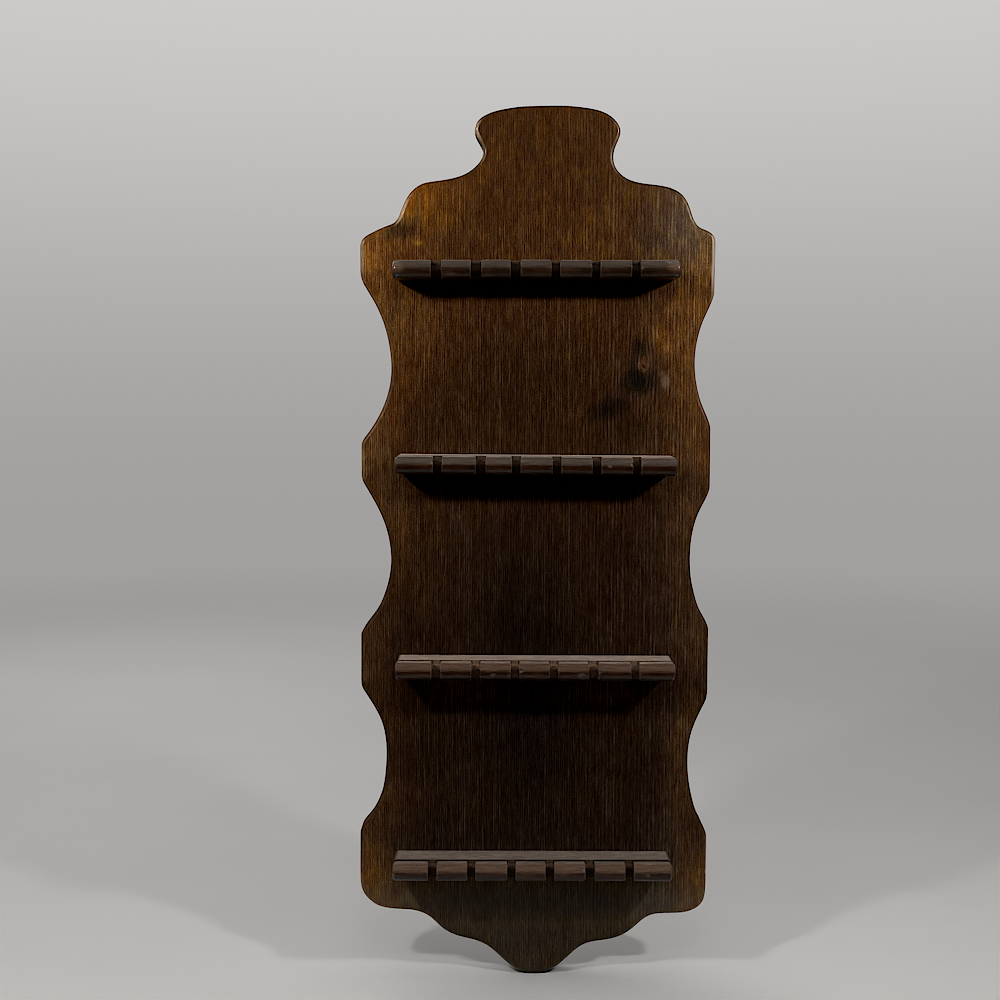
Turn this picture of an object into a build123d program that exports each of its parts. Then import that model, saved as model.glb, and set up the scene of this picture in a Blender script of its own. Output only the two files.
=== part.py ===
from build123d import *
import os

# ---------------------------------------------------------------------------
# Wall-hung rack for small collector spoons.
# One shaped plank carries four notched rails, each held by two wood screws
# driven from behind. A toothed steel strip nailed to the back hangs it.
#
# Row frame, millimetres: +X to the right as the rack is faced, +Z up, -Y out
# of the wall. The plank's back lies in Y = 0, against the wall. The origin is
# in that plane, at the middle notch of the hanger, where the wall nail bears.
# ---------------------------------------------------------------------------

# ---- plank ----------------------------------------------------------------
BOARD_T = 18.0            # plank thickness
FRONT_ROUND = 2.6         # rounding of the front edge
BACK_ROUND = 1.0          # eased back edge

# ---- rail section (height along Z, depth out from the plank) ----------------
RAIL_H = 11.4             # rail height
STRIP_D = 17.7            # flat top strip, plank face to the saw kerf
KERF_W = 3.2              # saw kerf along the top
KERF_DEPTH = 2.4
LIP_W = 3.6               # flat lip between the kerf and the rounded nose
NOSE_R = RAIL_H / 2       # half-round nose
RAIL_D = STRIP_D + KERF_W + LIP_W + NOSE_R      # 30.2 out from the plank
RAIL_END_R = 2.2          # rounding of the rail ends
# per rail: name, height of the middle, left end, right end, tilt in degrees
# (right end down), then each notch as (middle, width, depth left behind it)
RAILS = [
    ("top_rail", -78.8, -87.7, 87.6, 0.0,
     [(-61.1, 6.2, 0), (-36.8, 6.4, 0), (-12.8, 6.1, 0),
      (11.6, 5.3, 0), (36.1, 5.1, 0), (60.4, 5.3, 0)]),
    ("upper_middle_rail", -198.5, -86.8, 86.7, 0.40,
     [(-60.7, 5.3, 0), (-34.1, 5.9, 0), (-12.3, 5.3, 0),
      (12.6, 5.4, 0), (37.1, 5.4, 0), (61.7, 5.0, 0)]),
    ("lower_middle_rail", -326.2, -87.4, 86.4, 0.22,
     [(-62.0, 5.4, 0), (-37.4, 5.4, 0), (-13.0, 5.1, 0),
      (11.1, 5.4, 0), (35.7, 5.9, 0), (61.4, 5.1, 1.8)]),
    ("bottom_rail", -453.3, -89.6, 85.5, 0.12,
     [(-64.6, 5.4, 0), (-40.3, 5.1, 0), (-15.2, 5.2, 0),
      (8.9, 5.5, 0), (33.9, 5.9, 0), (58.7, 5.4, 0)]),
]

# ---- wood screws, plank to rail ---------------------------------------------
SCREW_X = 49.0            # each side of the rail's middle
SCREW_LEN = 32.0
SCREW_SINK = 0.6          # head set below the plank's back
SCREW_HEAD_R = 4.1
SCREW_HEAD_H = 2.6
SCREW_SHANK_R = 2.1
SCREW_ROOT_R = 1.45
SCREW_PITCH = 1.6
SCREW_THREAD_LEN = 19.0
SCREW_POINT = 4.0
SLOT_W = 1.1
SLOT_DEPTH = 1.1
CLEAR_R = 2.3             # clearance hole through the plank

# ---- shallow pocket in the plank's back, so the hanger lies below the face ----
POCKET_HALF = 25.5        # half length
POCKET_TOP = 9.0
POCKET_BOTTOM = -12.0     # room under the teeth for the wall nail's head
POCKET_DEPTH = 3.2
POCKET_R = 5.0            # corners as the cutter leaves them

# ---- toothed hanger and its nails -------------------------------------------
HANGER_T = 0.9            # sheet thickness
HANGER_LEN = 45.0
HANGER_TOP = 7.0          # top edge above the notch apexes
TOOTH_DEPTH = 1.6
TOOTH_PITCH = 2.4
TOOTH_COUNT = 9           # notches
HANGER_STANDOFF = 1.9     # inner face of the raised middle from the pocket's floor
HANGER_RAISED_HALF = 12.6 # half length of the raised middle
HANGER_RAMP = 2.6         # length of each joggle
HANGER_NAIL_X = 18.8
HANGER_NAIL_Z = 2.6
NAIL_R = 0.8
NAIL_LEN = 12.0
NAIL_HEAD_R = 2.0
NAIL_HEAD_H = 0.7

# ---- plank outline, (x, z) --------------------------------------------------
# Each list is one smooth run. Neighbouring runs meet in a short rounded
# corner. Both sides start at the middle of the crown and end at the tip.
LEFT_RUNS = [
    [(7.4, 24.0), (-2.7, 23.8), (-10.5, 23.4), (-16.0, 22.6), (-21.5, 21.6),
     (-27.6, 19.9), (-32.0, 17.9), (-35.6, 15.2), (-37.5, 12.2), (-38.1, 9.3),
     (-37.2, 6.0), (-35.2, 2.3), (-33.4, -1.1), (-32.7, -4.4), (-33.5, -7.8),
     (-35.3, -10.9), (-38.0, -13.7), (-41.2, -16.2), (-45.8, -18.6),
     (-52.1, -20.5), (-59.4, -21.8), (-66.0, -22.7), (-70.4, -23.7),
     (-73.9, -25.5), (-77.2, -28.3), (-80.0, -31.8), (-82.1, -35.6),
     (-83.8, -39.5), (-85.3, -43.4)],
    [(-90.5, -48.9), (-95.1, -50.6), (-99.6, -52.6), (-103.6, -54.6)],
    [(-109.7, -62.2), (-109.7, -77.4)],
    [(-106.9, -87.3), (-101.1, -97.1), (-96.4, -107.2), (-93.3, -117.1),
     (-91.4, -127.1), (-90.6, -137.1), (-91.3, -147.1), (-93.8, -157.1),
     (-98.1, -167.2), (-104.1, -177.2), (-107.4, -181.6)],
    [(-109.7, -187.0), (-109.7, -205.9)],
    [(-108.1, -211.3), (-103.0, -220.1), (-97.8, -230.3), (-94.1, -240.4),
     (-92.0, -250.6), (-91.4, -260.8), (-92.7, -271.0), (-95.6, -281.2),
     (-100.4, -291.5), (-107.8, -301.7)],
    [(-110.7, -307.8), (-110.9, -336.4)],
    [(-109.4, -343.2), (-103.1, -353.2), (-98.0, -363.6), (-95.6, -374.0),
     (-95.0, -384.3), (-95.6, -395.5), (-97.3, -406.6), (-100.2, -415.8),
     (-105.0, -424.9), (-109.2, -430.0)],
    [(-112.1, -436.2), (-112.2, -447.0), (-112.3, -464.6), (-111.7, -471.6),
     (-109.7, -476.5), (-105.7, -481.0), (-100.4, -484.3), (-94.7, -485.8),
     (-88.5, -486.4), (-82.2, -486.7), (-76.7, -487.5), (-72.0, -489.0),
     (-67.5, -491.6), (-63.6, -495.1), (-60.0, -498.5), (-56.1, -501.3),
     (-51.0, -503.6), (-45.5, -505.2), (-39.8, -506.6), (-34.7, -508.4),
     (-30.1, -510.9), (-26.0, -514.2), (-22.0, -518.0), (-18.1, -521.6),
     (-14.2, -524.6), (-10.1, -526.9), (-5.6, -528.2), (-0.3, -528.6)],
]
RIGHT_RUNS = [
    [(7.4, 24.0), (17.3, 24.0), (26.0, 23.4), (33.5, 22.4), (38.6, 21.3),
     (43.4, 19.5), (47.7, 16.8), (50.9, 13.2), (52.6, 9.2), (52.1, 5.1),
     (50.4, 1.0), (48.8, -3.4), (48.3, -8.3), (49.4, -13.1), (52.4, -17.3),
     (57.1, -20.7), (63.0, -22.8), (71.2, -24.1), (79.3, -25.2),
     (85.4, -26.9), (90.3, -29.7), (93.6, -33.4), (95.8, -37.8),
     (97.6, -43.1)],
    [(103.3, -51.2), (106.6, -52.6)],
    [(112.4, -59.8), (112.0, -90.4)],
    [(109.6, -99.0), (104.9, -109.6), (101.9, -119.6), (100.4, -129.6),
     (100.3, -139.6), (101.6, -149.6), (104.3, -159.6), (108.5, -169.7)],
    [(110.4, -176.3), (110.4, -212.5)],
    [(108.2, -220.1), (103.2, -230.3), (100.1, -240.4), (98.6, -250.6),
     (98.3, -260.8), (99.0, -271.0), (101.1, -281.2), (104.6, -291.5),
     (107.4, -296.6)],
    [(110.3, -304.0), (110.2, -341.6)],
    [(108.9, -350.6), (103.9, -361.0), (100.1, -371.4), (98.3, -381.7),
     (98.0, -392.1), (98.9, -402.6), (100.9, -413.0), (104.1, -423.2),
     (106.6, -428.3)],
    [(110.4, -437.8), (110.4, -448.0), (110.4, -466.4), (109.9, -476.6),
     (108.6, -481.2), (105.9, -484.5), (101.9, -487.0), (97.1, -488.5),
     (91.8, -489.1), (85.8, -489.2), (80.4, -489.4), (76.4, -490.1),
     (73.0, -491.4), (69.7, -493.5), (66.3, -496.5), (62.5, -499.8),
     (58.7, -502.5), (54.7, -504.5), (49.4, -506.1), (43.5, -507.1),
     (38.2, -507.9), (33.7, -509.1), (29.7, -511.0), (25.9, -513.8),
     (21.9, -517.5), (17.8, -521.3), (13.8, -524.5), (9.6, -526.9),
     (4.9, -528.2), (-0.3, -528.6)],
]


def unit(a, b):
    dx, dz = b[0] - a[0], b[1] - a[1]
    d = (dx * dx + dz * dz) ** 0.5
    return dx / d, dz / d


def meet(p, u, q, v):
    # where the line from p along u meets the line from q along v
    det = u[0] * -v[1] + v[0] * u[1]
    s = ((q[0] - p[0]) * -v[1] + v[0] * (q[1] - p[1])) / det
    return p[0] + u[0] * s, p[1] + u[1] * s


def side_edges(runs, down):
    """Edges of one side, from the crown (down) or back up to it."""
    first = (-1.0, 0.0) if down else (1.0, 0.0)
    edges = []
    ends = []
    for i, run in enumerate(runs):
        t0 = unit(run[0], run[1])
        t1 = unit(run[-2], run[-1])
        if i == 0:
            t0 = first
        if i == len(runs) - 1:
            t1 = (-first[0], 0.0)
        ends.append((t0, t1))
        if len(run) == 2:
            edges.append(Line(run[0], run[1]))
        else:
            edges.append(Spline(*run, tangents=[t0, t1]))
    for i in range(len(runs) - 1):
        p, u = runs[i][-1], ends[i][1]
        q, v = runs[i + 1][0], ends[i + 1][0]
        edges.append(Bezier(p, meet(p, u, q, v), q))
    return edges


def board_solid():
    edges = side_edges(LEFT_RUNS, True) + side_edges(RIGHT_RUNS, False)
    outline = make_face(Plane.XZ * Wire(edges))
    solid = extrude(outline, amount=BOARD_T, dir=(0, -1, 0))
    front = solid.faces().sort_by(Axis.Y)[0]
    back = solid.faces().sort_by(Axis.Y)[-1]
    solid = fillet(front.edges(), FRONT_ROUND)
    back = solid.faces().sort_by(Axis.Y)[-1]
    solid = fillet(back.edges(), BACK_ROUND)
    return solid


def in_rail_frame(shape, rail):
    # rail frame: origin in the middle of the rail, on the plank's face
    name, z, x0, x1, tilt, notches = rail
    return Pos(0, -BOARD_T, z) * Rot(0, tilt, 0) * shape


def rail_solid(rail):
    name, z, x0, x1, tilt, notches = rail
    h = RAIL_H / 2
    flat = STRIP_D + KERF_W + LIP_W
    # section in the Y-Z plane at the left end, swept along X
    outline = Wire([
        Edge.make_line((x0, 0, -h), (x0, 0, h)),
        Edge.make_line((x0, 0, h), (x0, -flat, h)),
        Edge.make_three_point_arc((x0, -flat, h), (x0, -flat - NOSE_R, 0),
                                  (x0, -flat, -h)),
        Edge.make_line((x0, -flat, -h), (x0, 0, -h)),
    ])
    bar = extrude(make_face(outline), amount=x1 - x0, dir=(1, 0, 0))
    # round the ends, but not where they meet the plank
    ends = [e for e in bar.edges()
            if (abs(e.center().X - x0) < 0.01 or abs(e.center().X - x1) < 0.01)
            and e.center().Y < -0.1]
    bar = fillet(ends, RAIL_END_R)
    # saw kerf along the whole top
    kerf = Pos((x0 + x1) / 2, -STRIP_D - KERF_W / 2, h) * Box(
        x1 - x0 + 10, KERF_W, 2 * KERF_DEPTH)
    bar = bar - kerf
    # spoon notches, open at the top, the front and the bottom
    for cx, w, ledge in notches:
        d0 = STRIP_D + ledge
        cut = Pos(cx, -(d0 + RAIL_D + 5) / 2, 0) * Box(
            w, RAIL_D + 5 - d0, RAIL_H + 10)
        bar = bar - cut
    # pilot holes for the screws
    depth = SCREW_SINK + SCREW_LEN - BOARD_T
    for sx in (-SCREW_X, SCREW_X):
        straight = depth - SCREW_POINT
        hole = Pos(sx, -straight / 2, 0) * Rot(90, 0, 0) * Cylinder(
            SCREW_SHANK_R, straight)
        tip = Pos(sx, -straight - SCREW_POINT / 2, 0) * Rot(90, 0, 0) * Cone(
            SCREW_SHANK_R, 0.25, SCREW_POINT)
        bar = bar - hole - tip
    return in_rail_frame(bar, rail)


def screw_solid():
    """A slotted countersunk wood screw along -Y, its head face at y = 0."""
    pts = [(0, 0), (SCREW_HEAD_R, 0), (SCREW_HEAD_R, -0.35),
           (SCREW_SHANK_R, -SCREW_HEAD_H)]
    y_thread = -(SCREW_LEN - SCREW_THREAD_LEN)
    y_tip = -SCREW_LEN
    pts.append((SCREW_SHANK_R, y_thread))
    y = y_thread - 0.5
    pts.append((SCREW_ROOT_R, y))
    while y - SCREW_PITCH > y_tip + SCREW_POINT:
        pts.append((SCREW_ROOT_R, y - 0.55 * SCREW_PITCH))
        pts.append((SCREW_SHANK_R - 0.02, y - 0.78 * SCREW_PITCH))
        pts.append((SCREW_ROOT_R, y - SCREW_PITCH))
        y -= SCREW_PITCH
    pts.append((SCREW_ROOT_R, y_tip + SCREW_POINT))
    pts.append((0.15, y_tip + 0.1))
    pts.append((0, y_tip + 0.1))
    profile = make_face(Wire.make_polygon([(x, y, 0) for x, y in pts], close=True))
    body = revolve(profile, Axis.Y, 360)
    slot = Pos(0, 0, 0) * Box(SLOT_W, 2 * SLOT_DEPTH, 4 * SCREW_HEAD_R)
    return body - slot


def screw_places(rail):
    name, z, x0, x1, tilt, notches = rail
    return [Pos(0, -BOARD_T, z) * Rot(0, tilt, 0)
            * Pos(sx, BOARD_T - SCREW_SINK, 0) for sx in (-SCREW_X, SCREW_X)]


def hanger_solid():
    t, s = HANGER_T, HANGER_STANDOFF
    a, r, e = HANGER_RAISED_HALF, HANGER_RAMP, HANGER_LEN / 2
    inner = [(-e, 0), (-a - r, 0), (-a, s), (a, s), (a + r, 0), (e, 0)]
    k = 0.35 * t        # the bend's outer line runs a little inboard
    outer = [(e, t), (a + r - k, t), (a - k, s + t), (-a + k, s + t),
             (-a - r + k, t), (-e, t)]
    z0 = -TOOTH_DEPTH
    strip = extrude(make_face(Wire.make_polygon(
        [(x, y, z0) for x, y in inner + outer], close=True)),
        amount=HANGER_TOP - z0, dir=(0, 0, 1))
    # rounded ears
    ears = [ed for ed in strip.edges().filter_by(Axis.Y)
            if abs(abs(ed.center().X) - e) < 0.01]
    strip = fillet(ears, 2.4)
    # notches along the lower edge, apex up
    for i in range(TOOTH_COUNT):
        cx = (i - (TOOTH_COUNT - 1) / 2) * TOOTH_PITCH
        w = TOOTH_PITCH / 2
        tri = make_face(Wire.make_polygon(
            [(cx - w, -1, z0), (cx, -1, 0), (cx + w, -1, z0),
             (cx + w, -1, z0 - 1), (cx - w, -1, z0 - 1)], close=True))
        strip = strip - extrude(tri, amount=8, dir=(0, 1, 0))
    # nail holes, clear of the nail
    for sx in (-HANGER_NAIL_X, HANGER_NAIL_X):
        strip = strip - Pos(sx, t / 2, HANGER_NAIL_Z) * Rot(90, 0, 0) * Cylinder(
            NAIL_R + 0.15, 4 * t)
    return Pos(0, -POCKET_DEPTH, 0) * strip


def nail_solid(sx):
    pts = [(0, NAIL_HEAD_H), (0.9, NAIL_HEAD_H), (1.6, NAIL_HEAD_H * 0.72),
           (NAIL_HEAD_R, 0.15), (NAIL_HEAD_R, 0), (NAIL_R, 0),
           (NAIL_R, -NAIL_LEN + 2.4), (0.1, -NAIL_LEN), (0, -NAIL_LEN)]
    profile = make_face(Wire.make_polygon([(x, y, 0) for x, y in pts], close=True))
    return (Pos(sx, HANGER_T - POCKET_DEPTH, HANGER_NAIL_Z)
            * revolve(profile, Axis.Y, 360))


# ---- build ------------------------------------------------------------------
board = board_solid()
for rail in RAILS:
    for place in screw_places(rail):
        # clearance hole and countersink, shaped to the head with the sink
        slope = (SCREW_HEAD_R - SCREW_SHANK_R) / (SCREW_HEAD_H - 0.35)
        mouth = SCREW_HEAD_R + 0.15
        y_cone = -0.35 - (mouth - CLEAR_R) / slope
        cut = make_face(Wire.make_polygon(
            [(0, SCREW_SINK + 1, 0), (mouth, SCREW_SINK + 1, 0),
             (mouth, -0.35, 0), (CLEAR_R, y_cone, 0),
             (CLEAR_R, -BOARD_T - 1, 0), (0, -BOARD_T - 1, 0)], close=True))
        board = board - place * revolve(cut, Axis.Y, 360)
pocket = Pos(0, (2 - POCKET_DEPTH) / 2, (POCKET_TOP + POCKET_BOTTOM) / 2) * Box(
    2 * POCKET_HALF, POCKET_DEPTH + 2, POCKET_TOP - POCKET_BOTTOM)
board = board - fillet(pocket.edges().filter_by(Axis.Y), POCKET_R)
for sx in (-HANGER_NAIL_X, HANGER_NAIL_X):
    pts = [(0, 1), (NAIL_R, 1), (NAIL_R, HANGER_T - NAIL_LEN + 2.4),
           (0.1, HANGER_T - NAIL_LEN), (0, HANGER_T - NAIL_LEN)]
    hole = make_face(Wire.make_polygon([(x, y, 0) for x, y in pts], close=True))
    board = board - (Pos(sx, -POCKET_DEPTH, HANGER_NAIL_Z)
                     * revolve(hole, Axis.Y, 360))

nodes = {"back_board": board}
for rail in RAILS:
    nodes[rail[0]] = rail_solid(rail)
screw = screw_solid()
nodes["rail_screws"] = Compound(children=[
    (place * screw).solid() for rail in RAILS for place in screw_places(rail)])
nodes["sawtooth_hanger"] = hanger_solid()
nodes["hanger_nails"] = Compound(children=[
    nail_solid(sx).solid() for sx in (-HANGER_NAIL_X, HANGER_NAIL_X)])

os.makedirs("parts", exist_ok=True)
for name, shape in nodes.items():
    export_step(shape, "parts/%s.step" % name)
    b = shape.bounding_box()
    print("%-20s volume %9.1f mm3  x %.1f..%.1f  y %.1f..%.1f  z %.1f..%.1f" % (
        name, shape.volume, b.min.X, b.max.X, b.min.Y, b.max.Y, b.min.Z, b.max.Z))
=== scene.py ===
import math

import bmesh
import bpy
import numpy as np
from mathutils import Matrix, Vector
from mathutils.geometry import delaunay_2d_cdt
from mathutils.kdtree import KDTree


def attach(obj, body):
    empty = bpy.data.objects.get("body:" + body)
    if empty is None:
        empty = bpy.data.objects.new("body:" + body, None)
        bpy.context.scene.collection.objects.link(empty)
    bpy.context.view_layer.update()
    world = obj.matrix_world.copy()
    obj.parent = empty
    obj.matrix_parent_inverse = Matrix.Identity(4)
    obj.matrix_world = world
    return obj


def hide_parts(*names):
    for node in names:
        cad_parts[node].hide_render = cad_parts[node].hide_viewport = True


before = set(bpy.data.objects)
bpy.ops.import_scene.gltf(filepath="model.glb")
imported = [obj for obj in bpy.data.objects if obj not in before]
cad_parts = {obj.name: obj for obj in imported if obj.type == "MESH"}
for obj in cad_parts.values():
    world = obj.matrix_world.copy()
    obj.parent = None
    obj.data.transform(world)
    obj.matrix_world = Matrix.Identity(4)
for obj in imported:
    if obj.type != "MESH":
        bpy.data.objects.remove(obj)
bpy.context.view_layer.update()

MM = 0.001

# ---------------------------------------------------------------------------
# Sizes in millimetres, as in the part's source. Row frame: +X right as the
# rack is faced, +Z up, -Y out of the wall, origin at the hanger's notch.
# ---------------------------------------------------------------------------
BOARD_T = 18.0
FRONT_ROUND = 2.6
BACK_ROUND = 1.0
RAIL_H = 11.4
STRIP_D = 17.7
KERF_W = 3.2
KERF_DEPTH = 2.4
LIP_W = 3.6
NOSE_R = RAIL_H / 2
RAIL_END_R = 2.2
RAILS = [
    ("top_rail", -78.8, -87.7, 87.6, 0.0,
     [(-61.1, 6.2, 0), (-36.8, 6.4, 0), (-12.8, 6.1, 0),
      (11.6, 5.3, 0), (36.1, 5.1, 0), (60.4, 5.3, 0)]),
    ("upper_middle_rail", -198.5, -86.8, 86.7, 0.40,
     [(-60.7, 5.3, 0), (-34.1, 5.9, 0), (-12.3, 5.3, 0),
      (12.6, 5.4, 0), (37.1, 5.4, 0), (61.7, 5.0, 0)]),
    ("lower_middle_rail", -326.2, -87.4, 86.4, 0.22,
     [(-62.0, 5.4, 0), (-37.4, 5.4, 0), (-13.0, 5.1, 0),
      (11.1, 5.4, 0), (35.7, 5.9, 0), (61.4, 5.1, 1.8)]),
    ("bottom_rail", -453.3, -89.6, 85.5, 0.12,
     [(-64.6, 5.4, 0), (-40.3, 5.1, 0), (-15.2, 5.2, 0),
      (8.9, 5.5, 0), (33.9, 5.9, 0), (58.7, 5.4, 0)]),
]
SCREW_X = 49.0
SCREW_LEN = 32.0
SCREW_SINK = 0.6
SCREW_HEAD_R = 4.1
SCREW_HEAD_H = 2.6
SCREW_SHANK_R = 2.1
SCREW_POINT = 4.0
CLEAR_R = 2.3
POCKET_HALF = 25.5
POCKET_TOP = 9.0
POCKET_BOTTOM = -12.0
POCKET_DEPTH = 3.2
POCKET_R = 5.0
HANGER_T = 0.9
HANGER_NAIL_X = 18.8
HANGER_NAIL_Z = 2.6
NAIL_R = 0.8
NAIL_LEN = 12.0

LEFT_RUNS = [
    [(7.4, 24.0), (-2.7, 23.8), (-10.5, 23.4), (-16.0, 22.6), (-21.5, 21.6),
     (-27.6, 19.9), (-32.0, 17.9), (-35.6, 15.2), (-37.5, 12.2), (-38.1, 9.3),
     (-37.2, 6.0), (-35.2, 2.3), (-33.4, -1.1), (-32.7, -4.4), (-33.5, -7.8),
     (-35.3, -10.9), (-38.0, -13.7), (-41.2, -16.2), (-45.8, -18.6),
     (-52.1, -20.5), (-59.4, -21.8), (-66.0, -22.7), (-70.4, -23.7),
     (-73.9, -25.5), (-77.2, -28.3), (-80.0, -31.8), (-82.1, -35.6),
     (-83.8, -39.5), (-85.3, -43.4)],
    [(-90.5, -48.9), (-95.1, -50.6), (-99.6, -52.6), (-103.6, -54.6)],
    [(-109.7, -62.2), (-109.7, -77.4)],
    [(-106.9, -87.3), (-101.1, -97.1), (-96.4, -107.2), (-93.3, -117.1),
     (-91.4, -127.1), (-90.6, -137.1), (-91.3, -147.1), (-93.8, -157.1),
     (-98.1, -167.2), (-104.1, -177.2), (-107.4, -181.6)],
    [(-109.7, -187.0), (-109.7, -205.9)],
    [(-108.1, -211.3), (-103.0, -220.1), (-97.8, -230.3), (-94.1, -240.4),
     (-92.0, -250.6), (-91.4, -260.8), (-92.7, -271.0), (-95.6, -281.2),
     (-100.4, -291.5), (-107.8, -301.7)],
    [(-110.7, -307.8), (-110.9, -336.4)],
    [(-109.4, -343.2), (-103.1, -353.2), (-98.0, -363.6), (-95.6, -374.0),
     (-95.0, -384.3), (-95.6, -395.5), (-97.3, -406.6), (-100.2, -415.8),
     (-105.0, -424.9), (-109.2, -430.0)],
    [(-112.1, -436.2), (-112.2, -447.0), (-112.3, -464.6), (-111.7, -471.6),
     (-109.7, -476.5), (-105.7, -481.0), (-100.4, -484.3), (-94.7, -485.8),
     (-88.5, -486.4), (-82.2, -486.7), (-76.7, -487.5), (-72.0, -489.0),
     (-67.5, -491.6), (-63.6, -495.1), (-60.0, -498.5), (-56.1, -501.3),
     (-51.0, -503.6), (-45.5, -505.2), (-39.8, -506.6), (-34.7, -508.4),
     (-30.1, -510.9), (-26.0, -514.2), (-22.0, -518.0), (-18.1, -521.6),
     (-14.2, -524.6), (-10.1, -526.9), (-5.6, -528.2), (-0.3, -528.6)],
]
RIGHT_RUNS = [
    [(7.4, 24.0), (17.3, 24.0), (26.0, 23.4), (33.5, 22.4), (38.6, 21.3),
     (43.4, 19.5), (47.7, 16.8), (50.9, 13.2), (52.6, 9.2), (52.1, 5.1),
     (50.4, 1.0), (48.8, -3.4), (48.3, -8.3), (49.4, -13.1), (52.4, -17.3),
     (57.1, -20.7), (63.0, -22.8), (71.2, -24.1), (79.3, -25.2),
     (85.4, -26.9), (90.3, -29.7), (93.6, -33.4), (95.8, -37.8),
     (97.6, -43.1)],
    [(103.3, -51.2), (106.6, -52.6)],
    [(112.4, -59.8), (112.0, -90.4)],
    [(109.6, -99.0), (104.9, -109.6), (101.9, -119.6), (100.4, -129.6),
     (100.3, -139.6), (101.6, -149.6), (104.3, -159.6), (108.5, -169.7)],
    [(110.4, -176.3), (110.4, -212.5)],
    [(108.2, -220.1), (103.2, -230.3), (100.1, -240.4), (98.6, -250.6),
     (98.3, -260.8), (99.0, -271.0), (101.1, -281.2), (104.6, -291.5),
     (107.4, -296.6)],
    [(110.3, -304.0), (110.2, -341.6)],
    [(108.9, -350.6), (103.9, -361.0), (100.1, -371.4), (98.3, -381.7),
     (98.0, -392.1), (98.9, -402.6), (100.9, -413.0), (104.1, -423.2),
     (106.6, -428.3)],
    [(110.4, -437.8), (110.4, -448.0), (110.4, -466.4), (109.9, -476.6),
     (108.6, -481.2), (105.9, -484.5), (101.9, -487.0), (97.1, -488.5),
     (91.8, -489.1), (85.8, -489.2), (80.4, -489.4), (76.4, -490.1),
     (73.0, -491.4), (69.7, -493.5), (66.3, -496.5), (62.5, -499.8),
     (58.7, -502.5), (54.7, -504.5), (49.4, -506.1), (43.5, -507.1),
     (38.2, -507.9), (33.7, -509.1), (29.7, -511.0), (25.9, -513.8),
     (21.9, -517.5), (17.8, -521.3), (13.8, -524.5), (9.6, -526.9),
     (4.9, -528.2), (-0.3, -528.6)],
]

KNOT = (68.0, -136.5)      # the one knot in the plank's face


# ---------------------------------------------------------------------------
# Repeatable smooth noise
# ---------------------------------------------------------------------------
def lattice(i, j, seed):
    n = (i.astype(np.int64) * 374761393 + j.astype(np.int64) * 668265263
         + seed * 974634777) & 0xFFFFFFFF
    n = ((n ^ (n >> 13)) * 1274126177) & 0xFFFFFFFF
    n = ((n ^ (n >> 15)) * 2246822519) & 0xFFFFFFFF
    return ((n >> 8) & 0xFFFF) / 32767.5 - 1.0


def noise2(x, y, seed=0):
    """Smooth values in -1..1, one lattice cell to each unit."""
    x, y = np.broadcast_arrays(np.asarray(x, float), np.asarray(y, float))
    i, j = np.floor(x), np.floor(y)
    fx, fy = x - i, y - j
    fx, fy = fx * fx * (3 - 2 * fx), fy * fy * (3 - 2 * fy)
    a, b = lattice(i, j, seed), lattice(i + 1, j, seed)
    c, d = lattice(i, j + 1, seed), lattice(i + 1, j + 1, seed)
    return (a * (1 - fx) + b * fx) * (1 - fy) + (c * (1 - fx) + d * fx) * fy


def fbm(x, y, seed=0, octaves=3):
    out, amp, total = 0.0, 1.0, 0.0
    for k in range(octaves):
        out = out + amp * noise2(np.asarray(x) * 2 ** k, np.asarray(y) * 2 ** k,
                                 seed + 17 * k)
        total += amp
        amp *= 0.5
    return out / total


def smooth(a, b, v):
    t = np.clip((np.asarray(v, float) - a) / (b - a), 0, 1)
    return t * t * (3 - 2 * t)


# ---------------------------------------------------------------------------
# The plank's outline
# ---------------------------------------------------------------------------
def unit(a, b):
    d = np.subtract(b, a)
    return d / np.linalg.norm(d)


def clamped_spline(pts, t0, t1, per_mm=6.0):
    """A smooth cubic through pts that leaves along t0 and arrives along t1."""
    p = np.array(pts, float)
    h = np.linalg.norm(np.diff(p, axis=0), axis=1)
    n = len(p)
    a = np.zeros((n, n))
    r = np.zeros((n, 2))
    a[0, 0] = a[-1, -1] = 1
    r[0], r[-1] = t0, t1
    for i in range(1, n - 1):
        a[i, i - 1], a[i, i + 1] = 1 / h[i - 1], 1 / h[i]
        a[i, i] = 2 * (1 / h[i - 1] + 1 / h[i])
        r[i] = 3 * ((p[i] - p[i - 1]) / h[i - 1] ** 2 + (p[i + 1] - p[i]) / h[i] ** 2)
    m = np.linalg.solve(a, r)
    out = []
    for i in range(n - 1):
        t = np.linspace(0, 1, max(3, int(h[i] * per_mm)), endpoint=False)[:, None]
        out.append((2 * t ** 3 - 3 * t ** 2 + 1) * p[i]
                   + (t ** 3 - 2 * t ** 2 + t) * h[i] * m[i]
                   + (3 * t ** 2 - 2 * t ** 3) * p[i + 1]
                   + (t ** 3 - t ** 2) * h[i] * m[i + 1])
    return np.vstack(out + [p[-1:]])


def meet(p, u, q, v):
    det = u[0] * -v[1] + v[0] * u[1]
    s = ((q[0] - p[0]) * -v[1] + v[0] * (q[1] - p[1])) / det
    return np.array([p[0] + u[0] * s, p[1] + u[1] * s])


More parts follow.
